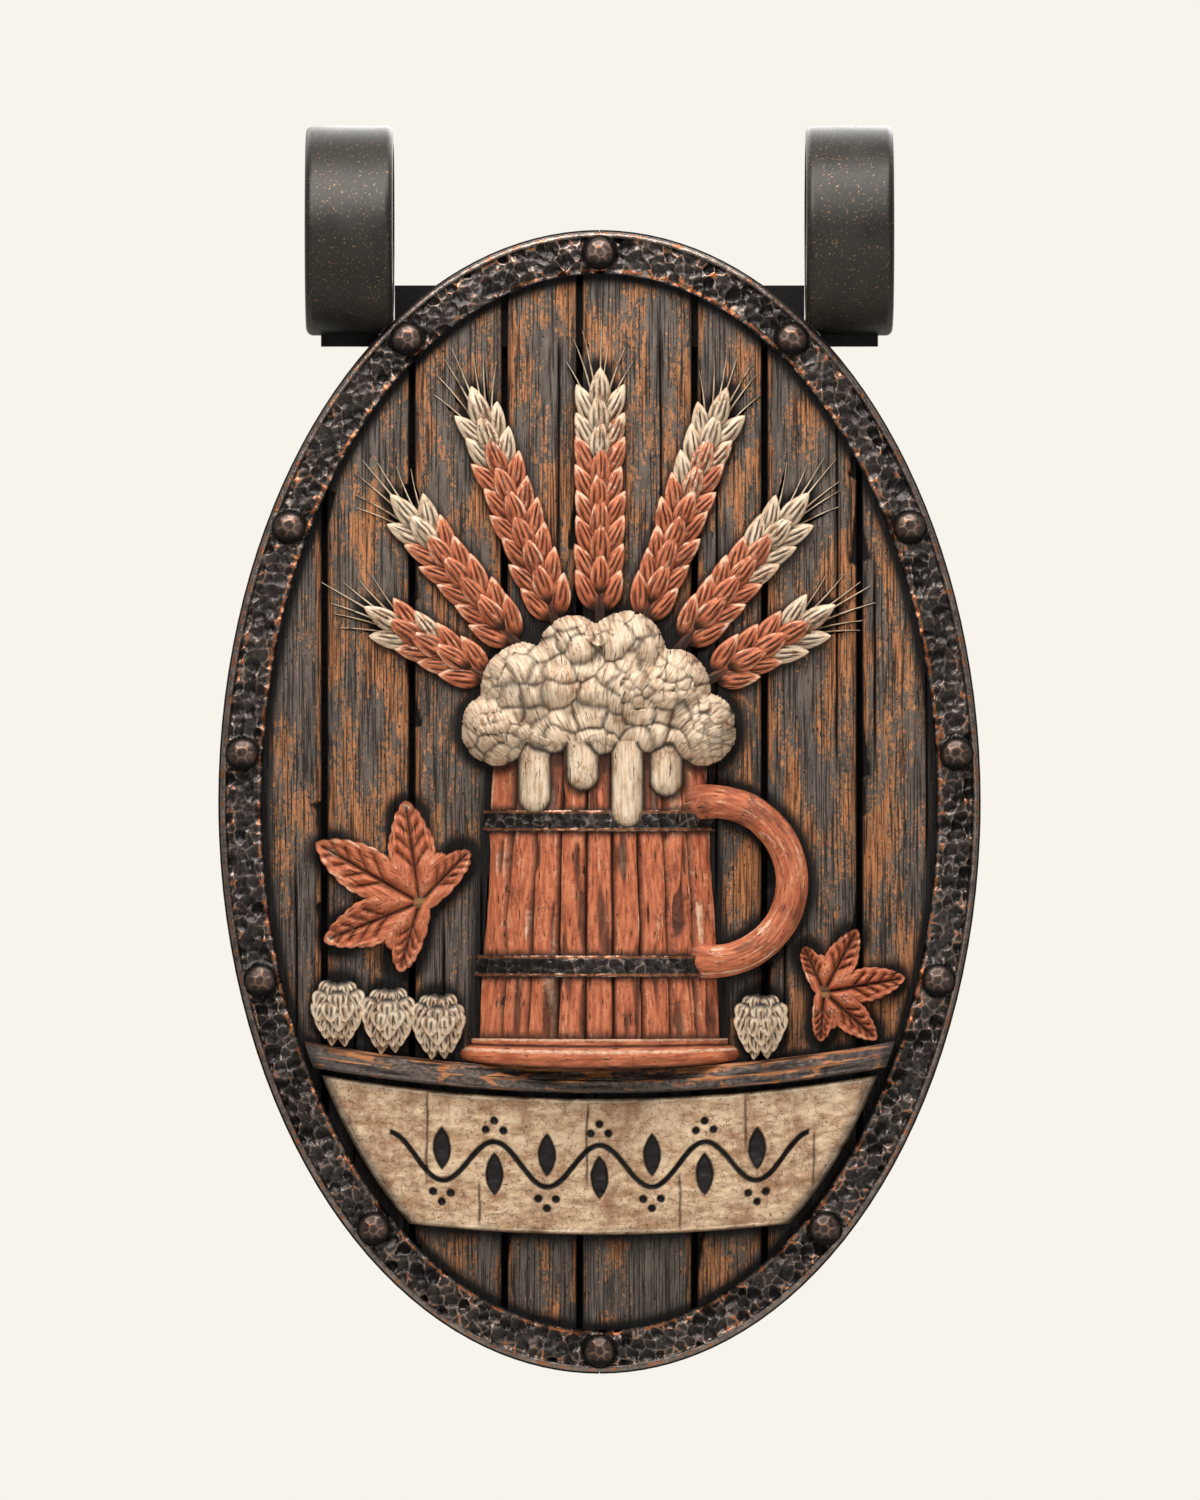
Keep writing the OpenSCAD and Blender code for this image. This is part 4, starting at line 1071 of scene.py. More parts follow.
w = np.maximum(out + ease(0.4, 1.6, np.minimum(corner, corner[-1] - corner)) * hewn, 0.0)
edges = stripe(corner - FRONT_EDGE, 0.3) + stripe(corner - TOP_EDGE, 0.4)
patchy = ease(0.3, 0.6, rough(u, walk, (26.0, 9.0), 99))
wear = (0.9 * edges + 0.6 * stripe(lead, 1.7)) * patchy + 0.3 * ease(FRONT_EDGE, TOP_EDGE, corner)
to_rim = rim_gap(u, v)
# Painted shade under the ledge, along its back edge and towards its ends by the rim; also darker in the
# grain's low places.
glaze = most(
    0.85 * ease(0.4, 0.26, grain),
    0.92 * fade(0.6, 3.4, corner),
    0.85 * ease(corner[-1] - 1.6, corner[-1] - 0.4, corner),
    0.95 - 0.6 * ease(1.0, 14.0, to_rim) - 0.35 * ease(10.0, 70.0, to_rim),
)
ledge_part = slab(u, v, w, LET_IN, glaze=glaze, wear=np.clip(wear, 0, 1), across=walk, along=u)
print("ledge length:", (u.max() - u.min()).round(1))

# %% [markdown]
# Slate paint survives only in the hollows of the ledge. The finish works as on the planks: wear and two
# textures that run along the strip are added up, and above a level the brown wood shows.

# %% Finish of the ledge
def hewn_wood(name):
    """Slate paint over brown wood, long along the strip."""
    f = Finish(name, Specular_IOR_Level=0.3)
    streak = f.noise(3.0, f.flow(0.1), 4.0, 0.6)
    fleck = f.noise(2.4, f.flow(0.5), 5.0, 0.7)
    slate = f.mix(f.level(fleck, 0.35, 0.65), shade(56, 48, 44), shade(110, 97, 88))
    wood = f.mix(f.level(streak, 0.3, 0.7), shade(120, 71, 41), shade(196, 131, 85))
    bare = f.level(f.total((f.paint("wear"), 0.45), (streak, 0.5), (fleck, 0.5)), 0.62, 0.76)
    colour = f.mix(bare, slate, wood)
    # Grime and painted shade: glaze mixes the colour towards near black.
    f.set(Base_Color=f.mix(f.paint("glaze"), colour, SOOT_AND_SHADE), Roughness=f.level(fleck, 0.3, 0.7, 0.5, 0.75))
    f.bump(f.total((streak, 0.7), (fleck, 0.5)), 0.6, 0.8)
    return f.material


piece("hewn_ledge", [ledge_part], hewn_wood("hewn_ledge"), ["banner_ledge"], crease=30)

# %% [markdown]
# A running vine is cut into the banner. It could be a curve turned into a mesh and taken away by a boolean,
# but then paint and cut would be two things to line up. Here each cut is known by its distance: a wave for
# the stem, two overlapping circles for a leaf, small circles for berries.

# %% Vine
WAVE, RISE, STEM_W = 42.0, 17.0, 5.0
HALF_WAVES = 8
LEAF_L, LEAF_W = 36.0, 15.0
LEAF_BOW = (LEAF_L ** 2 / 4 + LEAF_W ** 2 / 4) / LEAF_W
BERRIES, BERRY_R = [(-7.0, 9.5), (7.0, 9.5), (0.0, 17.0)], 3.6


def vine_gap(u, line):
    """Distance to the nearest cut of the vine; line is the height from the banner's middle curve."""
    start = -HALF_WAVES * WAVE / 2
    angle = math.pi * (u - start) / WAVE
    steep = np.hypot(1, RISE * math.pi / WAVE * np.sin(angle))
    stem = np.abs(line - RISE * np.cos(angle)) / steep - STEM_W / 2
    gaps = [np.maximum(stem, np.abs(u) + start)]
    for k in range(1, HALF_WAVES):
        up = -1 if k % 2 == 0 else 1
        a, b = u - (start + k * WAVE), up * line + 0.55 * RISE - LEAF_L / 2
        gaps.append(np.hypot(np.abs(a) + LEAF_BOW - LEAF_W / 2, b) - LEAF_BOW)
        for across, along in BERRIES:
            gaps.append(np.hypot(a - across, up * line + RISE + along) - BERRY_R)
    return np.min(gaps, axis=0)


print("vine length:", HALF_WAVES * WAVE, "leaves:", HALF_WAVES - 1)

# %% [markdown]
# The banner is a cream board. The vine's distance sinks the surface and inks it, so paint and relief can
# never drift apart. Grain cracks, shallow chisel cuts and chipped edges age the board, painted shade darkens
# its ends beside the rim, and a painted highlight runs round the vine's cut.

# %% Banner
BANNER_T = bench_box("banner_board")[1][2]
CUT_DEEP = 3.0
# Cracks by their place across and their lower and upper end, as shares of the height.
CRACKS = [
    (-138.0, 0.3, 1.0), (-96.0, 0.0, 0.35), (-10.0, 0.35, 1.0),
    (64.0, 0.0, 0.45), (117.0, 0.55, 1.0), (171.0, 0.1, 0.7),
]
u, v = strip_places(np.linspace(BANNER_LOW, BANNER_TOP, 118), BANNER_END, 0.95)
line = v - sag(u) - (BANNER_LOW + BANNER_TOP) / 2
share = line / BANNER_H + 0.5
to_rim = rim_gap(u, v)
edge_gap = np.minimum(BANNER_H / 2 - np.abs(line), to_rim - BANNER_END + 0.1)
chip = 1.6 + 3.5 * ease(0.62, 0.95, noise(u, line, (13.0, 13.0), 110))
w = BANNER_T + rounded(np.maximum(edge_gap, 0), chip)
lead, own = chisel_cuts(0.5 * u + 6 * rough(u, line, (14.0, 9.0), 111), line, 8.5, 113)
w = w - 2.6 * ease(0.0, 6.0, lead) * (own - 0.4) + 1.8 * (rough(u, line, (9.0, 5.0), 112) - 0.5)
cut = vine_gap(u + 0.8 * (rough(u, line, (6.0, 6.0), 118) - 0.5), line)
w = w - CUT_DEEP * fade(-2.2, 0.3, cut)
split = np.zeros(u.shape)
for place, start, end in CRACKS:
    off = np.abs(u - place - 3.0 * (rough(line, line * 0 + place, (24.0, 50.0), 120) - 0.5))
    opened = ease(start - 0.05, start + 0.1, share) * ease(-end - 0.05, 0.1 - end, -share)
    split = most(split, opened * np.maximum(1 - off / 1.5, 0))
w = w - 1.8 * split
# Dark cracks, painted shade along the edges and beside the rim, and patchy grime near the edges.
glaze = most(
    0.9 * split,
    0.85 * fade(0.3, 2.2, edge_gap),
    0.9 * fade(7.5, 19.0, to_rim),
    0.5 * fade(0.0, 9.0, edge_gap) * ease(0.3, 0.7, rough(u, line, (18.0, 9.0), 116)),
)
# Painted highlight: a pale line round the vine's cut; the pale line inside the edges is rubbed paint.
wear = np.clip(0.45 * stripe(cut - 1.1, 0.8) + 0.8 * stripe(edge_gap - 3.0, 1.4), 0, 1)
ink = fade(-0.9, 0.4, cut)
banner_part = slab(u, v, w, LET_IN, glaze=glaze, wear=wear, ink=ink, across=line, along=u)
print("share of the banner that is inked:", ink.mean().round(2))

# %% [markdown]
# Old cream paint is blotched and full of fine cracks. Where a texture crosses its middle value lies a thin
# wandering line, which makes a better hairline crack than any drawn one. Brown stains, pits and streaks
# along the grain come on top, then the ink of the vine, and the grime and painted shade.

# %% Finish of the banner
def aged_cream(name):
    """Blotched cream paint with hairline cracks, stains, ink, grime, painted shade and painted highlight."""
    f = Finish(name, Specular_IOR_Level=0.3)
    mottle = f.noise(9.0, f.stretched(0.4, 1), 6.0, 0.7)
    stain = f.noise(34.0, f.stretched(1, 0.5), 5.0, 0.68)
    colour = f.mix(f.level(mottle, 0.3, 0.62), shade(166, 126, 92), shade(218, 190, 156))
    colour = f.mix(f.level(stain, 0.47, 0.66, 0.0, 0.7), colour, shade(136, 90, 60))
    off = f.math("ABSOLUTE", f.math("SUBTRACT", f.noise(11.0, None, 5.0, 0.62), 0.5), 0.0)
    colour = f.mix(f.level(off, 0.014, 0.004, 0.0, 0.8), colour, shade(98, 60, 36))
    pit = f.level(f.noise(2.6, None, 2.0, 0.5), 0.31, 0.27)
    colour = f.mix(pit, colour, shade(74, 46, 30))
    streak = f.level(f.noise(2.4, f.stretched(0.12, 1), 3.0), 0.38, 0.3, 0.0, 0.5)
    colour = f.mix(streak, colour, shade(120, 84, 58))
    # Rubbed paint and painted highlight: wear pales the colour.
    rubbed = f.level(f.total((f.paint("wear"), 0.8), (mottle, 0.6)), 0.7, 1.05, 0.0, 0.8)
    colour = f.mix(rubbed, colour, shade(242, 226, 200))
    colour = f.mix(f.paint("ink"), colour, shade(20, 15, 13))
    # Grime and painted shade: glaze mixes the colour towards dark brown.
    f.set(Base_Color=f.mix(f.paint("glaze"), colour, shade(30, 20, 14)))
    f.set(Roughness=f.level(mottle, 0.3, 0.7, 0.5, 0.7))
    f.bump(f.total((mottle, 1.0), (pit, -0.5), (streak, -0.4)), 0.9, 0.9)
    return f.material


piece("vine_banner", [banner_part], aged_cream("aged_cream"), ["banner_board"], crease=60)

# %% [markdown]
# The tankard is carved as if it were coopered: tapering staves with a cut between each pair, held by two
# black hoops. It is part of a cone that leans out of the planks, so its grid runs by share of the angle
# that shows. Points of any patch on that cone come from one function, which foot and hoops use too.

# %% Tankard
STAVES = 9
STAVE_W = (MUG_LOW_HALF + MUG_TOP_HALF) / STAVES * 1.05
HOOP_H, HOOP_T = 17.0, 3.0
HOOPS = {name: np.mean([end[1] for end in bench_box(name)]) for name in ("lower_hoop", "upper_hoop")}


def mug_patch(v, relief):
    """u and w on a patch of the tankard's cone, raised by relief; columns run across the angle that shows."""
    share = np.linspace(-1, 1, v.shape[1])
    radius = mug_r(v) + relief
    angle = share * np.arccos(MUG_SINK / radius)
    return radius * np.sin(angle), radius * np.cos(angle) - MUG_SINK


share, v = np.meshgrid(np.linspace(-1, 1, 250), np.linspace(MUG_FOOT, MUG_LIP, 170))
stave = (share + 1) / 2 * STAVES
within = stave % 1
joint = np.minimum(within, 1 - within) * STAVE_W
across = (within - 0.5) * STAVE_W + 40 * np.floor(stave)
strokes = rough(across, v, (5.5, 48.0), 130)
gouge = ease(0.64, 0.82, noise(across, v, (4.6, 44.0), 135))
crown = 1 - (2 * within - 1) ** 2
relief = 1.8 * crown - 3.4 * stripe(joint, 1.3) + 3.2 * (strokes - 0.5) - 1.4 * gouge
u, w = mug_patch(v, relief - 1.4)
hoop_gap = np.min([np.abs(v - middle) for middle in HOOPS.values()], axis=0) - HOOP_H / 2
runs = [capsule(u, v, (x, MUG_LIP), (x, MUG_LIP - drop), RUN_R) for x, drop in RUNS]
under_foam = np.min(foam_gaps(u, v) + runs, axis=0)
# Dark stave joints and gouges, and painted shade beside the hoops, at the foot, at the sides where the cone
# turns away and under the foam.
glaze = most(
    stripe(joint, 1.7),
    0.8 * fade(0.0, 7.0, hoop_gap),
    0.85 * fade(0.0, 9.0, v - MUG_FOOT),
    0.8 * ease(0.94, 1.0, np.abs(share)),
    0.75 * gouge,
    0.85 * fade(0.0, 8.0, under_foam),
)
chipped = ease(0.4, 0.6, rough(across, v, (9.0, 26.0), 137))
# Pale stave edges and strokes, partly rubbed paint and partly painted highlight.
wear = np.clip(0.5 * stripe(joint - 2.8, 0.9) * chipped + 0.6 * ease(0.6, 0.8, strokes), 0, 1)
body = slab(u, v, np.maximum(w, 0), 0.0, glaze=glaze, wear=wear, tone=0.0, across=across, along=v)
piece("staved_tankard", [body], carved_finish, ["tankard_body"], crease=50)

# %% [markdown]
# The foot is a bead that runs round the tankard and stands on the ledge. Its lower row follows the ledge's
# sag and its upper row the level of the staves, and the rows between them change from one to the other.

# %% Foot
FOOT_OUT = 7.0
foot_low = LEDGE_TOP + 0.3
share, rise = np.meshgrid(np.linspace(-1, 1, 220), np.linspace(0, 1, 26))
u = share * (MUG_LOW_HALF + FOOT_OUT)
v = (foot_low + sag(u)) * (1 - rise) + (MUG_FOOT - 0.2) * rise
bead = FOOT_OUT * np.sqrt(np.clip(1 - ((rise - 0.36) / 0.4) ** 2, 0.0, 1)) + 2.0 * ease(0.7, 0.8, rise)
dent = ease(0.6, 0.9, noise(u, v, (19.0, 8.0), 143))
u, w = mug_patch(v, bead + 1.5 * (rough(u, v, (34.0, 4.0), 140) - 0.5) - 1.2 * dent)
# Painted shade in the groove above the bead and along the bottom where the foot meets the ledge.
glaze = most(0.95 * stripe(rise - 0.74, 0.05), 0.9 * fade(0.0, 0.14, rise))
# Painted highlight on the bead's upper side and along the top edge.
wear = ease(0.4, 0.55, rise) * fade(0.58, 0.68, rise) + ease(0.85, 0.95, rise)
foot = slab(u, v, np.maximum(w, 0), 0.0, glaze=glaze, wear=0.7 * wear, tone=0.0, across=v, along=u)
piece("turned_foot", [foot], carved_finish, ["tankard_foot"], crease=50)

# %% [markdown]
# The two hoops are painted like the rim's iron, so they take the same hammer function at a smaller size and
# the same finish. Their edges are rolled over, which gives each a bright line above and a dark one below.

# %% Hoops
for name, middle in HOOPS.items():
    _, rise = np.meshgrid(np.linspace(-1, 1, 230), np.linspace(-1, 1, 22))
    v = middle + rise * HOOP_H / 2
    u, _ = mug_patch(v, HOOP_T)
    pit, ridge, _ = hammer(u, v, 7.0, 150)
    rolled = ease(0.72, 1.0, np.abs(rise))
    u, w = mug_patch(v, HOOP_T - 2.2 * pit * (1 - rolled) - 1.4 * rolled ** 2)
    edge = stripe(np.abs(rise) - 0.82, 0.1)
    wear = np.clip(0.5 * ridge + 0.7 * edge, 0, 1)
    # Soot and painted shade in the hammer's pits.
    hoop = slab(u, v, np.maximum(w, 0), 0.0, glaze=0.5 * pit, wear=wear, copper=edge)
    piece("hammered_" + name, [hoop], rim_finish, [name], crease=50)
print("hoops at:", {name: round(float(middle), 1) for name, middle in HOOPS.items()})

# %% [markdown]
# The handle is a bar bent in a ring that springs from the tankard's side. A curve with a round bevel would be
# too perfect. A grid swept round an arc can carry long knife facets round its section, and it thickens and
# sinks where it joins the staves.

# %% Handle
bend, around = np.radians(np.linspace(-112, 112, 150)), np.radians(np.linspace(0, 360, 57))[:-1]
bend, around = np.meshgrid(bend, around, indexing="ij")
bend_turn, section_turn = np.degrees(np.abs(bend)), np.degrees(around)
root = ease(84.0, 112.0, bend_turn)
along = bend * HANDLE_R
facet = np.abs(((section_turn + 8 * np.sin(along / 30)) / 45.0) % 1 - 0.5)
knife = rough(along, section_turn, (24.0, 40.0), 160)
radius = HANDLE_D / 2 * (1 - 0.06 * facet * 2 + 0.16 * root) + 1.6 * (knife - 0.5)
far_out = HANDLE_R + radius * np.cos(around)
u = HANDLE_AT[0] + far_out * np.cos(bend)
v = HANDLE_AT[1] + far_out * np.sin(bend)
w = HANDLE_DEPTH - 10.0 * root - radius * np.sin(around)
# Painted shade towards the planks and at the roots, and darker in the low knife marks.
glaze = most(0.9 * fade(0.5, 6.0, w), 0.7 * ease(98.0, 110.0, bend_turn), 0.45 * fade(0.25, 0.42, knife))
wear = np.clip(0.7 * stripe(0.5 - facet, 0.06) + 0.5 * ease(0.6, 0.75, knife), 0, 1)
flow = {"across": section_turn * 0.24, "along": along}
points, paint = on_points(u, v, w, glaze=glaze, wear=wear, tone=0.0, **flow)
rows, cols = u.shape
ends = [list(range(cols))[::-1], list(range((rows - 1) * cols, rows * cols))]
handle = (points, grid_faces(rows, cols, wrap_cols=True) + ends, paint)
piece("knifed_handle", [handle], carved_finish, ["tankard_handle"], crease=50)

# %% [markdown]
# Foam has a border that no grid or fan follows. A square grid over the whole heap is simplest, of which only
# the cells on the foam are kept. Edges that belong to one kept cell are the border, and walls go down from
# them to a flat copy behind.

# %% Sheets with a free border
def closed_sheet(u, v, w, keep, back, **paint):
    """A solid from the part of a grid that is kept, with a flat copy of it behind."""
    points, paint = on_points(u, v, w, **paint)
    quads = np.array(grid_faces(*u.shape))
    quads = quads[keep.ravel()[quads].all(axis=1)]
    used, quads = np.unique(quads, return_inverse=True)
    quads = quads.reshape(-1, 4)
    count = len(used)
    front = points[used]
    rear = front.copy()
    rear[:, 2] = back
    edges = np.concatenate([quads[:, [k, (k + 1) % 4]] for k in range(4)])
    lone = ~np.isin(edges @ [count, 1], edges @ [1, count])
    walls = [[int(a) + count, int(b) + count, int(b), int(a)] for a, b in edges[lone]]
    faces = quads.tolist() + (quads[:, ::-1] + count).tolist() + walls
    paint = {key: np.tile(value[used], 2) for key, value in paint.items()}
    return np.concatenate([front, rear]), faces, paint


def mug_face(u, v):
    """Height of the tankard's body over the planks, or 0 beside it."""
    inside = (v < MUG_LIP + 2) & (np.abs(u) < mug_r(v))
    return np.where(inside, np.sqrt(np.maximum(mug_r(v) ** 2 - u ** 2, 0)) - MUG_SINK, 0.0)


print("tankard's face at the lip:", mug_face(np.zeros(1), np.array([MUG_LIP])).round(1))

# %% [markdown]
# Foam is a heap of soft lumps, each made of many bubbles, with runs that spill over the lip. The lumps melt
# into each other, so they are added up as a soft greatest height. The bubbles are the hammer's round blows
# turned outward: they swell where a blow would sink, painted shade lies in the seams between them, and their
# tops take a painted highlight.

# %% Foam
SOFT = 3.0
NOWHERE = -9.0
u, v = np.meshgrid(np.arange(-122, 122.1, 1.0), np.arange(MUG_LIP - 76, MUG_LIP + 118, 1.0))
ground = np.maximum(mug_face(u, v), 0)
lumps = [(np.hypot(u - x, v - y), size) for x, y, size in LUMPS]
heap = sum(np.exp((3.6 + size) * (1 - (off / size) ** 3) / SOFT) for off, size in lumps)
heap = SOFT * np.log(np.maximum(heap, 1e-9))
froth, _, seam = hammer(u, v, 19.0, 170)
fine, _, fine_seam = hammer(u, v, 9.0, 190)
in_cluster = ease(0.5, 0.62, noise(u, v, (30.0, 30.0), 176)) > 0.5
swell = np.where(in_cluster, 4.0 + 4.0 * fine, 9.0 * froth)
seam = np.where(in_cluster, fine_seam * (1 - fine), seam * (1 - 0.6 * froth))
heap = np.where(most(*[size - off for off, size in lumps]) > -3, heap + swell - 3.0, NOWHERE)
run = np.full(u.shape, NOWHERE)
for x, drop in RUNS:
    off = capsule(u, v, (x, MUG_LIP + 8), (x, MUG_LIP - drop), 0.0)
    run = most(run, np.where(off < RUN_R, ground + 8.5 * (1 - (off / RUN_R) ** 2.6), NOWHERE))
best = np.maximum(heap, run)
turn, far_out = np.arctan2(u, v - MUG_LIP + 70), np.hypot(u, v - MUG_LIP + 70)
across = np.where(heap > run, 150 * turn + 5 * np.sin(far_out / 13), u + 200)
along = np.where(heap > run, far_out, v)
stroke = rough(across, along, (5.0, 26.0), 172)
seam = seam * ease(-1.0, 2.0, heap - run)
# Painted shade in the seams between bubbles, in the creases beside the runs and where the foam meets the
# tankard.
glaze = most(0.9 * seam, 0.9 * stripe(heap - run, 3.0) * (run > 0), 0.95 * fade(1.0, 6.0, best - ground))
# Painted highlight on the bubbles' tops, with pale strokes.
wear = np.clip(0.6 * ease(0.56, 0.75, stroke) + 0.5 * ease(0.6, 0.9, froth), 0, 1)
w = best + 1.5 * (stroke - 0.5) - 1.6 * seam
keep = (best > 7.0) & (best > ground - 5)
foam = closed_sheet(u, v, w, keep, 0.2, glaze=glaze, wear=wear, tone=0.9, across=across, along=along)
piece("curled_foam", [foam], carved_finish, ["foam_head"], crease=60)

# %% [markdown]
# A carved barley grain is a fan with a pointed outline, low at its root and high at its tip, so that the next
# one can lap over it. Three chisel cuts run up its back, painted shade lies in them, at the root and round
# the outline, and a painted highlight runs just inside the outline. Hop bracts are of the same make, so
# sizes, tone and seed are left open.

# %% Grains
# Chisel cuts by their place across, from -1 to 1, and their start and end along the grain.
CHISEL_CUTS = [(-0.5, 0.12, 0.72), (0.05, 0.3, 0.9), (0.52, 0.16, 0.8)]


def half_width(share, width):
    """Half the width of a grain at a share of its length."""
    return width / 2 * np.sin(math.pi * share ** 0.8) ** 0.8


def grain_outline(length, width, count):
    """Points counter-clockwise round a grain, from its root."""
    along = length * (1 - np.cos(math.pi * np.linspace(0, 1, count))) / 2
    half = half_width(along / length, width)
    right = np.stack([half, along], axis=1)
    left = np.stack([-half[::-1], along[::-1]], axis=1)[1:-1]
    return np.concatenate([right, left])


def grain_relief(length, width, base, lift, deep, tone, seed):
    """Relief of a grain that starts at a base height, rises by lift to its tip and swells by deep."""
    def relief(a, b, share):
        x = np.clip(b / length, 0, 1)
        wander = 0.25 * (rough(a, b, (8.0, 18.0), seed + 3) - 0.5)
        side = a / half_width(np.clip(x, 0.02, 0.98), width) + wander
        stroke = rough(a, b, (2.6, 15.0), seed)
        cut = np.zeros(a.shape)
        for place, start, end in CHISEL_CUTS:
            reach = ease(start, start + 0.15, x) * fade(end - 0.2, end, x)
            cut = most(cut, reach * stripe(side - place, 0.12))
        w = base + lift * x + deep * (1 - share ** 2.2) * (0.55 + 0.45 * np.sin(math.pi * x))
        w = w - 1.7 * cut + 2.0 * (stroke - 0.5)
        # Painted shade round the outline and at the root, and a painted highlight just inside the outline.
        border = 0.7 * ease(0.93, 1.0, share) * fade(0.7, 0.95, x)
        edge = ease(0.74, 0.86, share) * fade(0.9, 0.97, share) * ease(0.25, 0.5, x)
        wear = 0.55 * edge + 0.5 * ease(0.6, 0.75, stroke) + 0.5 * ease(0.8, 1.0, x)
        paint = {"glaze": most(0.9 * cut, 0.97 * fade(0.08, 0.36, x), border), "wear": np.clip(wear, 0, 1)}
        return w, paint | {"tone": tone, "across": a + 23 * seed, "along": b}

    return relief


print("points round a grain:", len(grain_outline(GRAIN_L, GRAIN_W, 19)))

# %% [markdown]
# The bristles of an ear, its awns, are thin tapering ridges that spread from the tip. Hair or curves would
# make them round wires, and carved ones lie on the ground, so each is a small slab that bows outwards and is
# cut back until it clears the rim.

# %% Awns
AWNS, AWN_W, AWN_H = 7, 2.6, 3.2
AWN_CLEAR = 11.0
AWN_SIDES = np.array([-1.0, -0.75, -0.35, 0.0, 0.35, 0.75, 1.0])[None, :]


def awn(turn, lean, start, length):
    """One bristle that leaves the ear at a lean and ends short of the rim."""
    t, side = np.linspace(0, 1, 22)[:, None], AWN_SIDES
    ahead, right = heading(turn + lean), heading(turn + lean + 90)
    root = LIP + start * heading(turn) + 0.28 * lean * heading(turn + 90)
    for _ in range(20):
        tip = root + length * ahead
        if rim_gap(tip[0], tip[1]) > AWN_CLEAR:
            break
        length -= 3
    half = AWN_W / 2 * (1 - 0.8 * t)
    sideways = side * half + 0.0016 * lean * (t * length) ** 2 / 10
    u = root[0] + t * length * ahead[0] + sideways * right[0]
    v = root[1] + t * length * ahead[1] + sideways * right[1]
    w = 0.3 + (AWN_H * (1 - 0.6 * t) + 2.0 * (1 - t) ** 4) * (1 - np.abs(side) ** 2.4)
    # Painted highlight along the middle of each bristle and painted shade on its sides.
    paint = {"tone": 0.9, "wear": 0.35 * (1 - np.abs(side)), "glaze": 0.8 * np.abs(side) ** 3}
    return slab(u, v, w, 0.0, across=side * half + 9 * lean, along=t * length, **paint)


print("awns of all ears:", AWNS * len(EAR_TURNS))

# %% [markdown]
# An ear is a stem with grains in pairs and one row along the middle, each grain lapping over the next. The
# russet turns to cream towards the top, where the paint was lightened. A few loose numbers for turn, size
# and tone keep the grains from looking stamped.

# %% Barley ears
def ear_parts(turn, seed):
    """Stem, grains and awns of one ear in its own place."""
    rng = np.random.default_rng(seed)
    rows = ear_rows(turn)
    parts = []

    def add_grain(side, k, lift_along, base, deep):
        grain_turn = turn + side * 26 + rng.uniform(-3, 3)
        along = EAR_START + (k + lift_along) * GRAIN_PITCH
        place = LIP + along * heading(turn) + 2.6 * side * heading(turn + 90)
        tone = ease(0.45, 1.0, (k + rng.uniform(-1.2, 1.2)) / rows) * 0.9
        length, width = GRAIN_L * rng.uniform(0.97, 1.08), GRAIN_W * rng.uniform(0.96, 1.06)
        relief = grain_relief(length, width, base, 6.0, deep, tone, int(rng.integers(1, 999)))
        outline, middle = grain_outline(length, width, 19), (0.0, 0.42 * length)
        parts.append(fan(outline, middle, 13, relief, 0.0, place, grain_turn))

    for k in range(rows + 1):
        for side in (-1, 1):
            add_grain(side, k, -0.3, 2.0, 6.0)
        add_grain(0, k, 0.3, 6.0, 6.5)
    top = rows * GRAIN_PITCH
    stem = np.array([[-4.0, -GRAIN_PITCH], [4.0, -GRAIN_PITCH], [3.0, top], [-3.0, top]])
    stem_relief = grain_relief(top, 10.0, 4.0, 0.0, 3.0, 0.0, seed)
    parts.append(fan(stem, (0.0, 0.0), 6, stem_relief, 0.0, LIP + EAR_START * heading(turn), turn))
    for k in range(AWNS):
        lean = (k - (AWNS - 1) / 2) * 5.5 + rng.uniform(-1.5, 1.5)
        start = ear_tip(turn) - EAR_NECK - 0.9 * abs(lean)
        parts.append(awn(turn, lean, start, rng.uniform(58, 66) - 0.5 * abs(lean)))
    return parts


for k, turn in enumerate(EAR_TURNS, start=1):
    parts = ear_parts(turn, 200 + k)
    piece(f"carved_ear_{k}", parts, carved_finish, [f"barley_ear_{k}"], crease=40)

# %% [markdown]
# A hop leaf has five pointed lobes round its stalk. The outline runs through the lobes' tips, shoulders and
# notches, with small teeth added along it. A drawn curve would do as well, but these few numbers serve a
# leaf of any size.

# %% Leaf outline
SHOULDER, SHOULDER_TURN = 0.74, 13.0
NOTCH, NOTCH_TURN = 0.42, 26.0


def leaf_outline(length, steps=15):
    """Points counter-clockwise round the leaf, from the stalk."""
    corners = [-0.1 * length * heading(0)]
    for turn, lobe in zip(LOBE_TURNS[::-1], LOBES[::-1]):
        wide = SHOULDER * lobe
        ways = ((SHOULDER_TURN, wide), (0.0, lobe), (-SHOULDER_TURN, wide), (-NOTCH_TURN, NOTCH))
        corners += [size * length * heading(turn + way) for way, size in ways]
    corners = np.array(corners[:-1])
    after = np.roll(corners, -1, axis=0)
    t = (np.arange(steps) / steps)[None, :, None]
    edge = after - corners
    normal = np.stack([edge[:, 1], -edge[:, 0]], axis=1) / np.linalg.norm(edge, axis=1)[:, None]
    bow = 0.022 * length * np.sin(math.pi * t) + 0.012 * length * np.abs(np.sin(3 * math.pi * t))
    points = corners[:, None] * (1 - t) + after[:, None] * t + bow * normal[:, None]
    return points.reshape(-1, 2)


print("points round a leaf:", len(leaf_outline(1.0)))

# %% [markdown]
# A main vein goes up each lobe of a leaf, with side veins branching off it. Grooves alone would leave the
# blade flat, so it also swells between the veins, and the light falls across it as on a real carved leaf.

# %% Hop leaves
SIDE_VEINS, SIDE_VEIN_TURN = (0.34, 0.5, 0.66, 0.8), 38.0


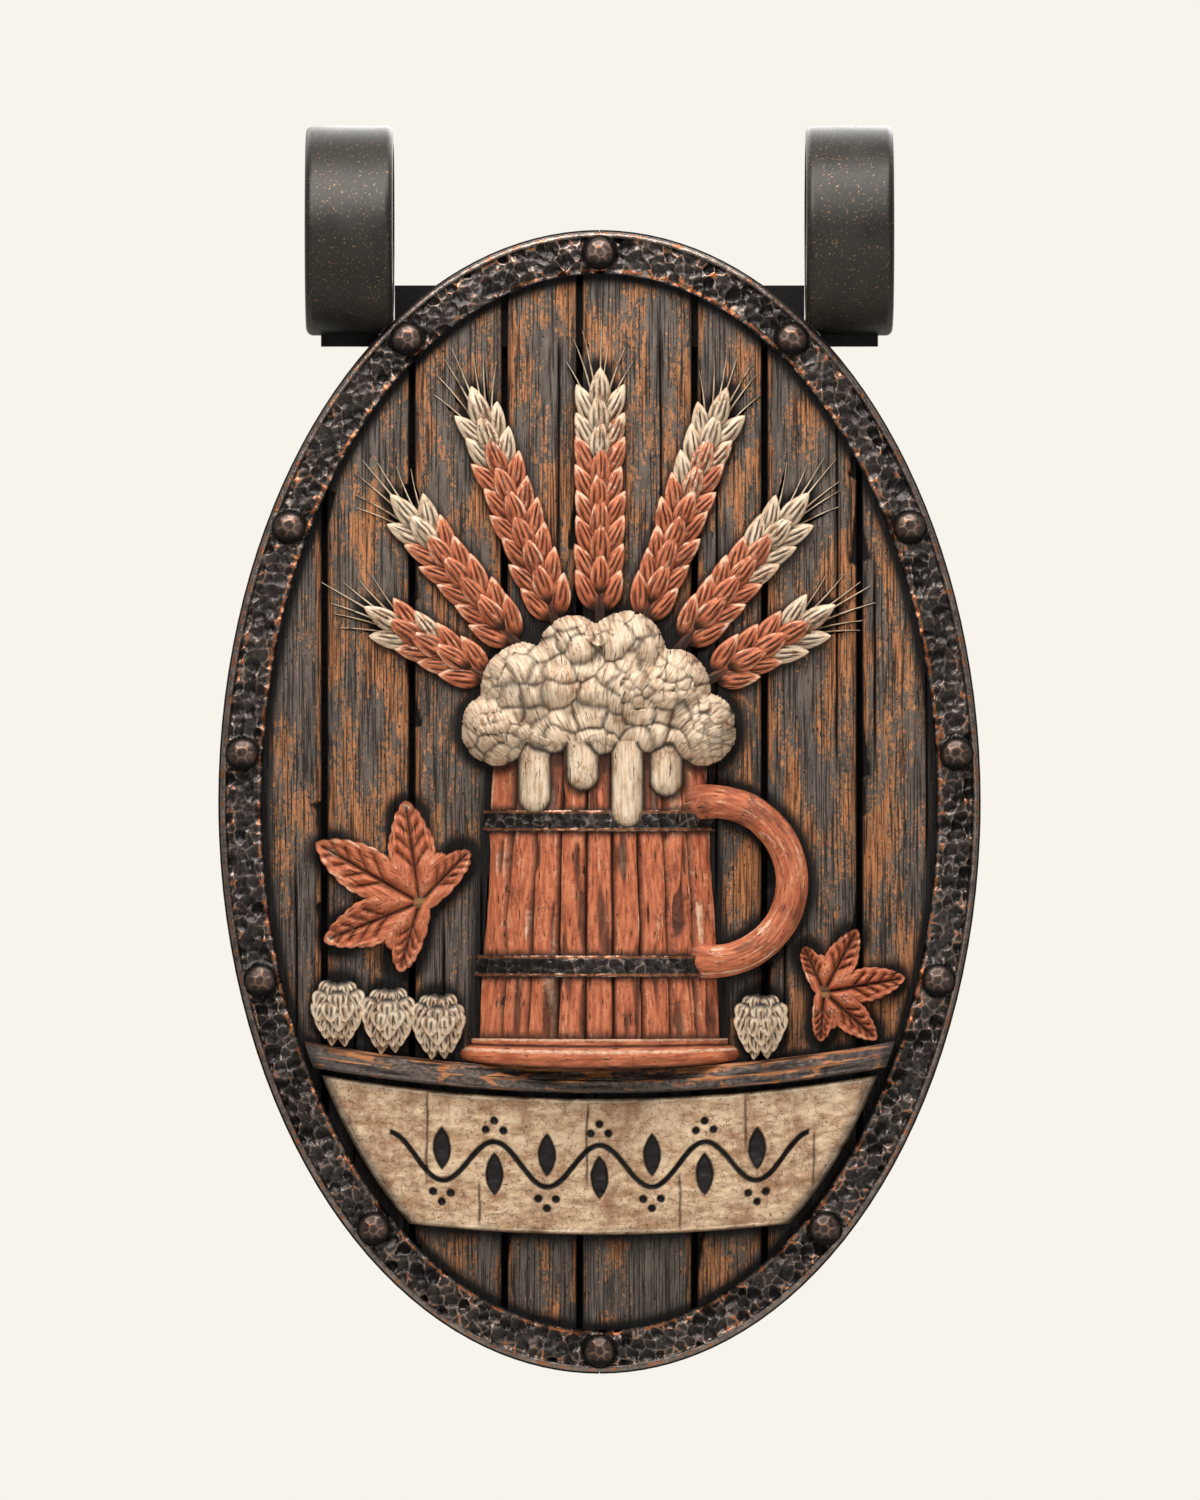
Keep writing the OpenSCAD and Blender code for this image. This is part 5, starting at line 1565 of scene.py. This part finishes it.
def vein_gaps(a, b, length):
    """Distances from the nearest main vein and the nearest side vein."""
    main, side = [], []
    for turn, lobe in zip(LOBE_TURNS, LOBES):
        ahead = lobe * length * heading(turn)
        main.append(capsule(a, b, (0.0, 0.0), 0.93 * ahead, 0.0))
        for t in SIDE_VEINS:
            for way in (-SIDE_VEIN_TURN, SIDE_VEIN_TURN):
                end = t * ahead + 0.28 * (1.15 - t) * lobe * length * heading(turn + way)
                side.append(capsule(a, b, t * ahead, end, 0.0))
    return np.min(main, axis=0), np.min(side, axis=0)


def leaf_relief(length, thick):
    """Relief of a veined blade of a given thickness."""
    def relief(a, b, share):
        main, side = vein_gaps(a, b, length)
        from_stalk = np.hypot(a, b)
        stroke = rough(main, from_stalk, (2.4, 16.0), 184)
        swell = 1 - stripe(np.minimum(main, 1.4 * side), 0.05 * length)
        w = thick * (0.62 + 0.38 * swell) * (1 - 0.3 * share ** 3)
        w = w - 2.2 * stripe(main, 1.3) - 1.2 * stripe(side, 0.9)
        w = w + 1.4 * (rough(a, b, (7.0, 7.0), 180) - 0.5) + 1.8 * (stroke - 0.5)
        # Painted shade in the veins and round the outline, and a painted highlight just inside the outline.
        glaze = most(stripe(main, 1.5), 0.75 * stripe(side, 1.1), 0.7 * ease(0.97, 1.0, share))
        rim_line = ease(0.9, 0.95, share) * fade(0.965, 0.99, share)
        wear = np.clip(0.4 * rim_line + 0.6 * ease(0.58, 0.75, stroke), 0, 1)
        paint = {"glaze": 0.95 * glaze, "wear": wear, "tone": 0.0}
        return w, paint | {"across": main, "along": from_stalk}

    return relief


for name, (at, turn, length) in LEAVES.items():
    relief = leaf_relief(length, bench_box(name)[1][2] - 1.5)
    leaf = fan(leaf_outline(length), (0.0, 0.22 * length), 40, relief, 0.0, at, turn)
    piece("veined_" + name, [leaf], carved_finish, [name], crease=50)

# %% [markdown]
# A hop cone is a drop of overlapping bracts that hang point down. Rows are laid from the tip upwards, so each
# row laps over the one below it, and every bract sits on a rounded core that gives the cone its belly.

# %% Hop cones
BRACT_ROWS = 6
# The cone's girth at shares of its height, from the tip up.
BELLY_AT, BELLY = [0, 0.3, 0.6, 0.85, 1], [0.4, 0.8, 0.98, 0.9, 0.55]
SPREAD = math.radians(52)
cone_parts = []
for n, (x, low) in enumerate(CONES):
    rng = np.random.default_rng(300 + n)
    for row in range(BRACT_ROWS):
        t = row / (BRACT_ROWS - 1)
        belly = CONE_D / 2 * np.interp(t, BELLY_AT, BELLY)
        count = 2 if row == 0 else 3 + row % 2
        length, width = 16.0 + 3 * math.sin(3.1 * t), 0.8 * belly + 4.5
        outline, middle = grain_outline(length, width, 15), (0.0, 0.42 * length)
        top = low + 12.5 + t * (CONE_L - 14.0)
        for k in range(count):
            swing = (k - (count - 1) / 2) * 2 * SPREAD / max(count - 1, 1)
            at = (x + 0.72 * belly * math.sin(swing) + rng.uniform(-0.5, 0.5), top + rng.uniform(-0.8, 0.8))
            core = 1.0 + 0.95 * belly * math.cos(swing)
            relief = grain_relief(length, width, core, 2.5, 3.5, 0.8, int(rng.integers(1, 999)))
            lean = 180 - math.degrees(swing) * (0.1 + 0.5 * t)
            cone_parts.append(fan(outline, middle, 10, relief, 0.0, at, lean))
piece("bracted_cones", cone_parts, carved_finish, ["hop_cones"], crease=40)
print("bracts:", len(cone_parts))

# %% [markdown]
# Two finishes are left. The loops are bronze-black iron with small flecks of bare metal, and the bushes in
# them are turned hardwood. Year rings are cylinders round the tree's heart, so a wave texture in rings, a
# little bent, shows rings on the bushes' ends and long streaks on their sides, as cut wood does.

# %% Finishes of loops and bushes
def flecked_iron(name):
    """Smooth dark iron with small warm flecks."""
    f = Finish(name, Metallic=0.6, Specular_IOR_Level=0.5)
    cloud = f.noise(45.0, None, 3.0)
    colour = f.mix(f.level(cloud, 0.3, 0.7), shade(35, 33, 29), shade(48, 45, 40))
    fleck = f.level(f.noise(2.0, None, 3.0, 0.6), 0.615, 0.67, 0.0, 0.8)
    colour = f.mix(fleck, colour, shade(132, 96, 70))
    f.set(Base_Color=colour, Roughness=f.level(cloud, 0.3, 0.7, 0.4, 0.48))
    f.bump(f.noise(1.4, None, 4.0), 0.15, 0.5)
    return f.material


def turned_wood(name):
    """Brown hardwood with year rings round u and fine pores along it."""
    f = Finish(name, Specular_IOR_Level=0.3)
    sockets = {"Vector": f.at, "Scale": 38.0, "Distortion": 2.4, "Detail": 2.0, "Detail Scale": 0.7}
    rings = f.add("TexWave", sockets, wave_type="RINGS", rings_direction="X").outputs["Fac"]
    tone = f.total((rings, 0.7), (f.noise(7.0, f.stretched(0.08, 1), 4.0), 0.3))
    colour = f.mix(f.level(tone, 0.25, 0.75), shade(100, 66, 40), shade(142, 99, 62))
    pore = f.level(f.noise(0.9, f.stretched(0.05, 1), 2.0), 0.4, 0.33)
    f.set(Base_Color=f.mix(pore, colour, shade(54, 34, 20)), Roughness=f.level(tone, 0.3, 0.7, 0.45, 0.6))
    f.bump(f.total((tone, 0.5), (pore, -0.5)), 0.3, 0.6)
    return f.material


strap_finish = forged_iron("black_straps", shade(22, 20, 19), shade(64, 60, 57), 0.72, 0.42, 9.0)
band_finish = forged_iron("black_bands", shade(34, 31, 29), shade(104, 97, 91), 0.74, 0.4, 12.0)
loop_finish = flecked_iron("flecked_loops")
bush_finish = turned_wood("turned_bushes")
print("finishes:", [m.name for m in (strap_finish, band_finish, loop_finish, bush_finish)])

# %% [markdown]
# Smooth ironwork needs no new mesh. The bar, the bands, the loops, the bushes and the fasteners keep their
# packed solids, which already have their true edges and holes, and only take a finish.

# %% Ironwork and bushes
SIDES = ("left", "right")
straps = ["hanger_bar", "loop_rivets", "bar_bolts", "board_nails", "rivet_roves"]
bands = [f"{side}_{part}" for side in SIDES for part in ("back_rim", "edge_band")]
loops = [f"{side}_hanger_loop" for side in SIDES]
woods = [f"{side}_pole_bush" for side in SIDES] + ["banner_pegs", "carving_pegs"]
dressed = {strap_finish: straps, band_finish: bands, loop_finish: loops, bush_finish: woods}
for finish, names in dressed.items():
    for name in names:
        for held in nodes[name].material_slots:
            held.material = finish
print("packed nodes with a finish:", sum(len(names) for names in dressed.values()))

# %% [markdown]
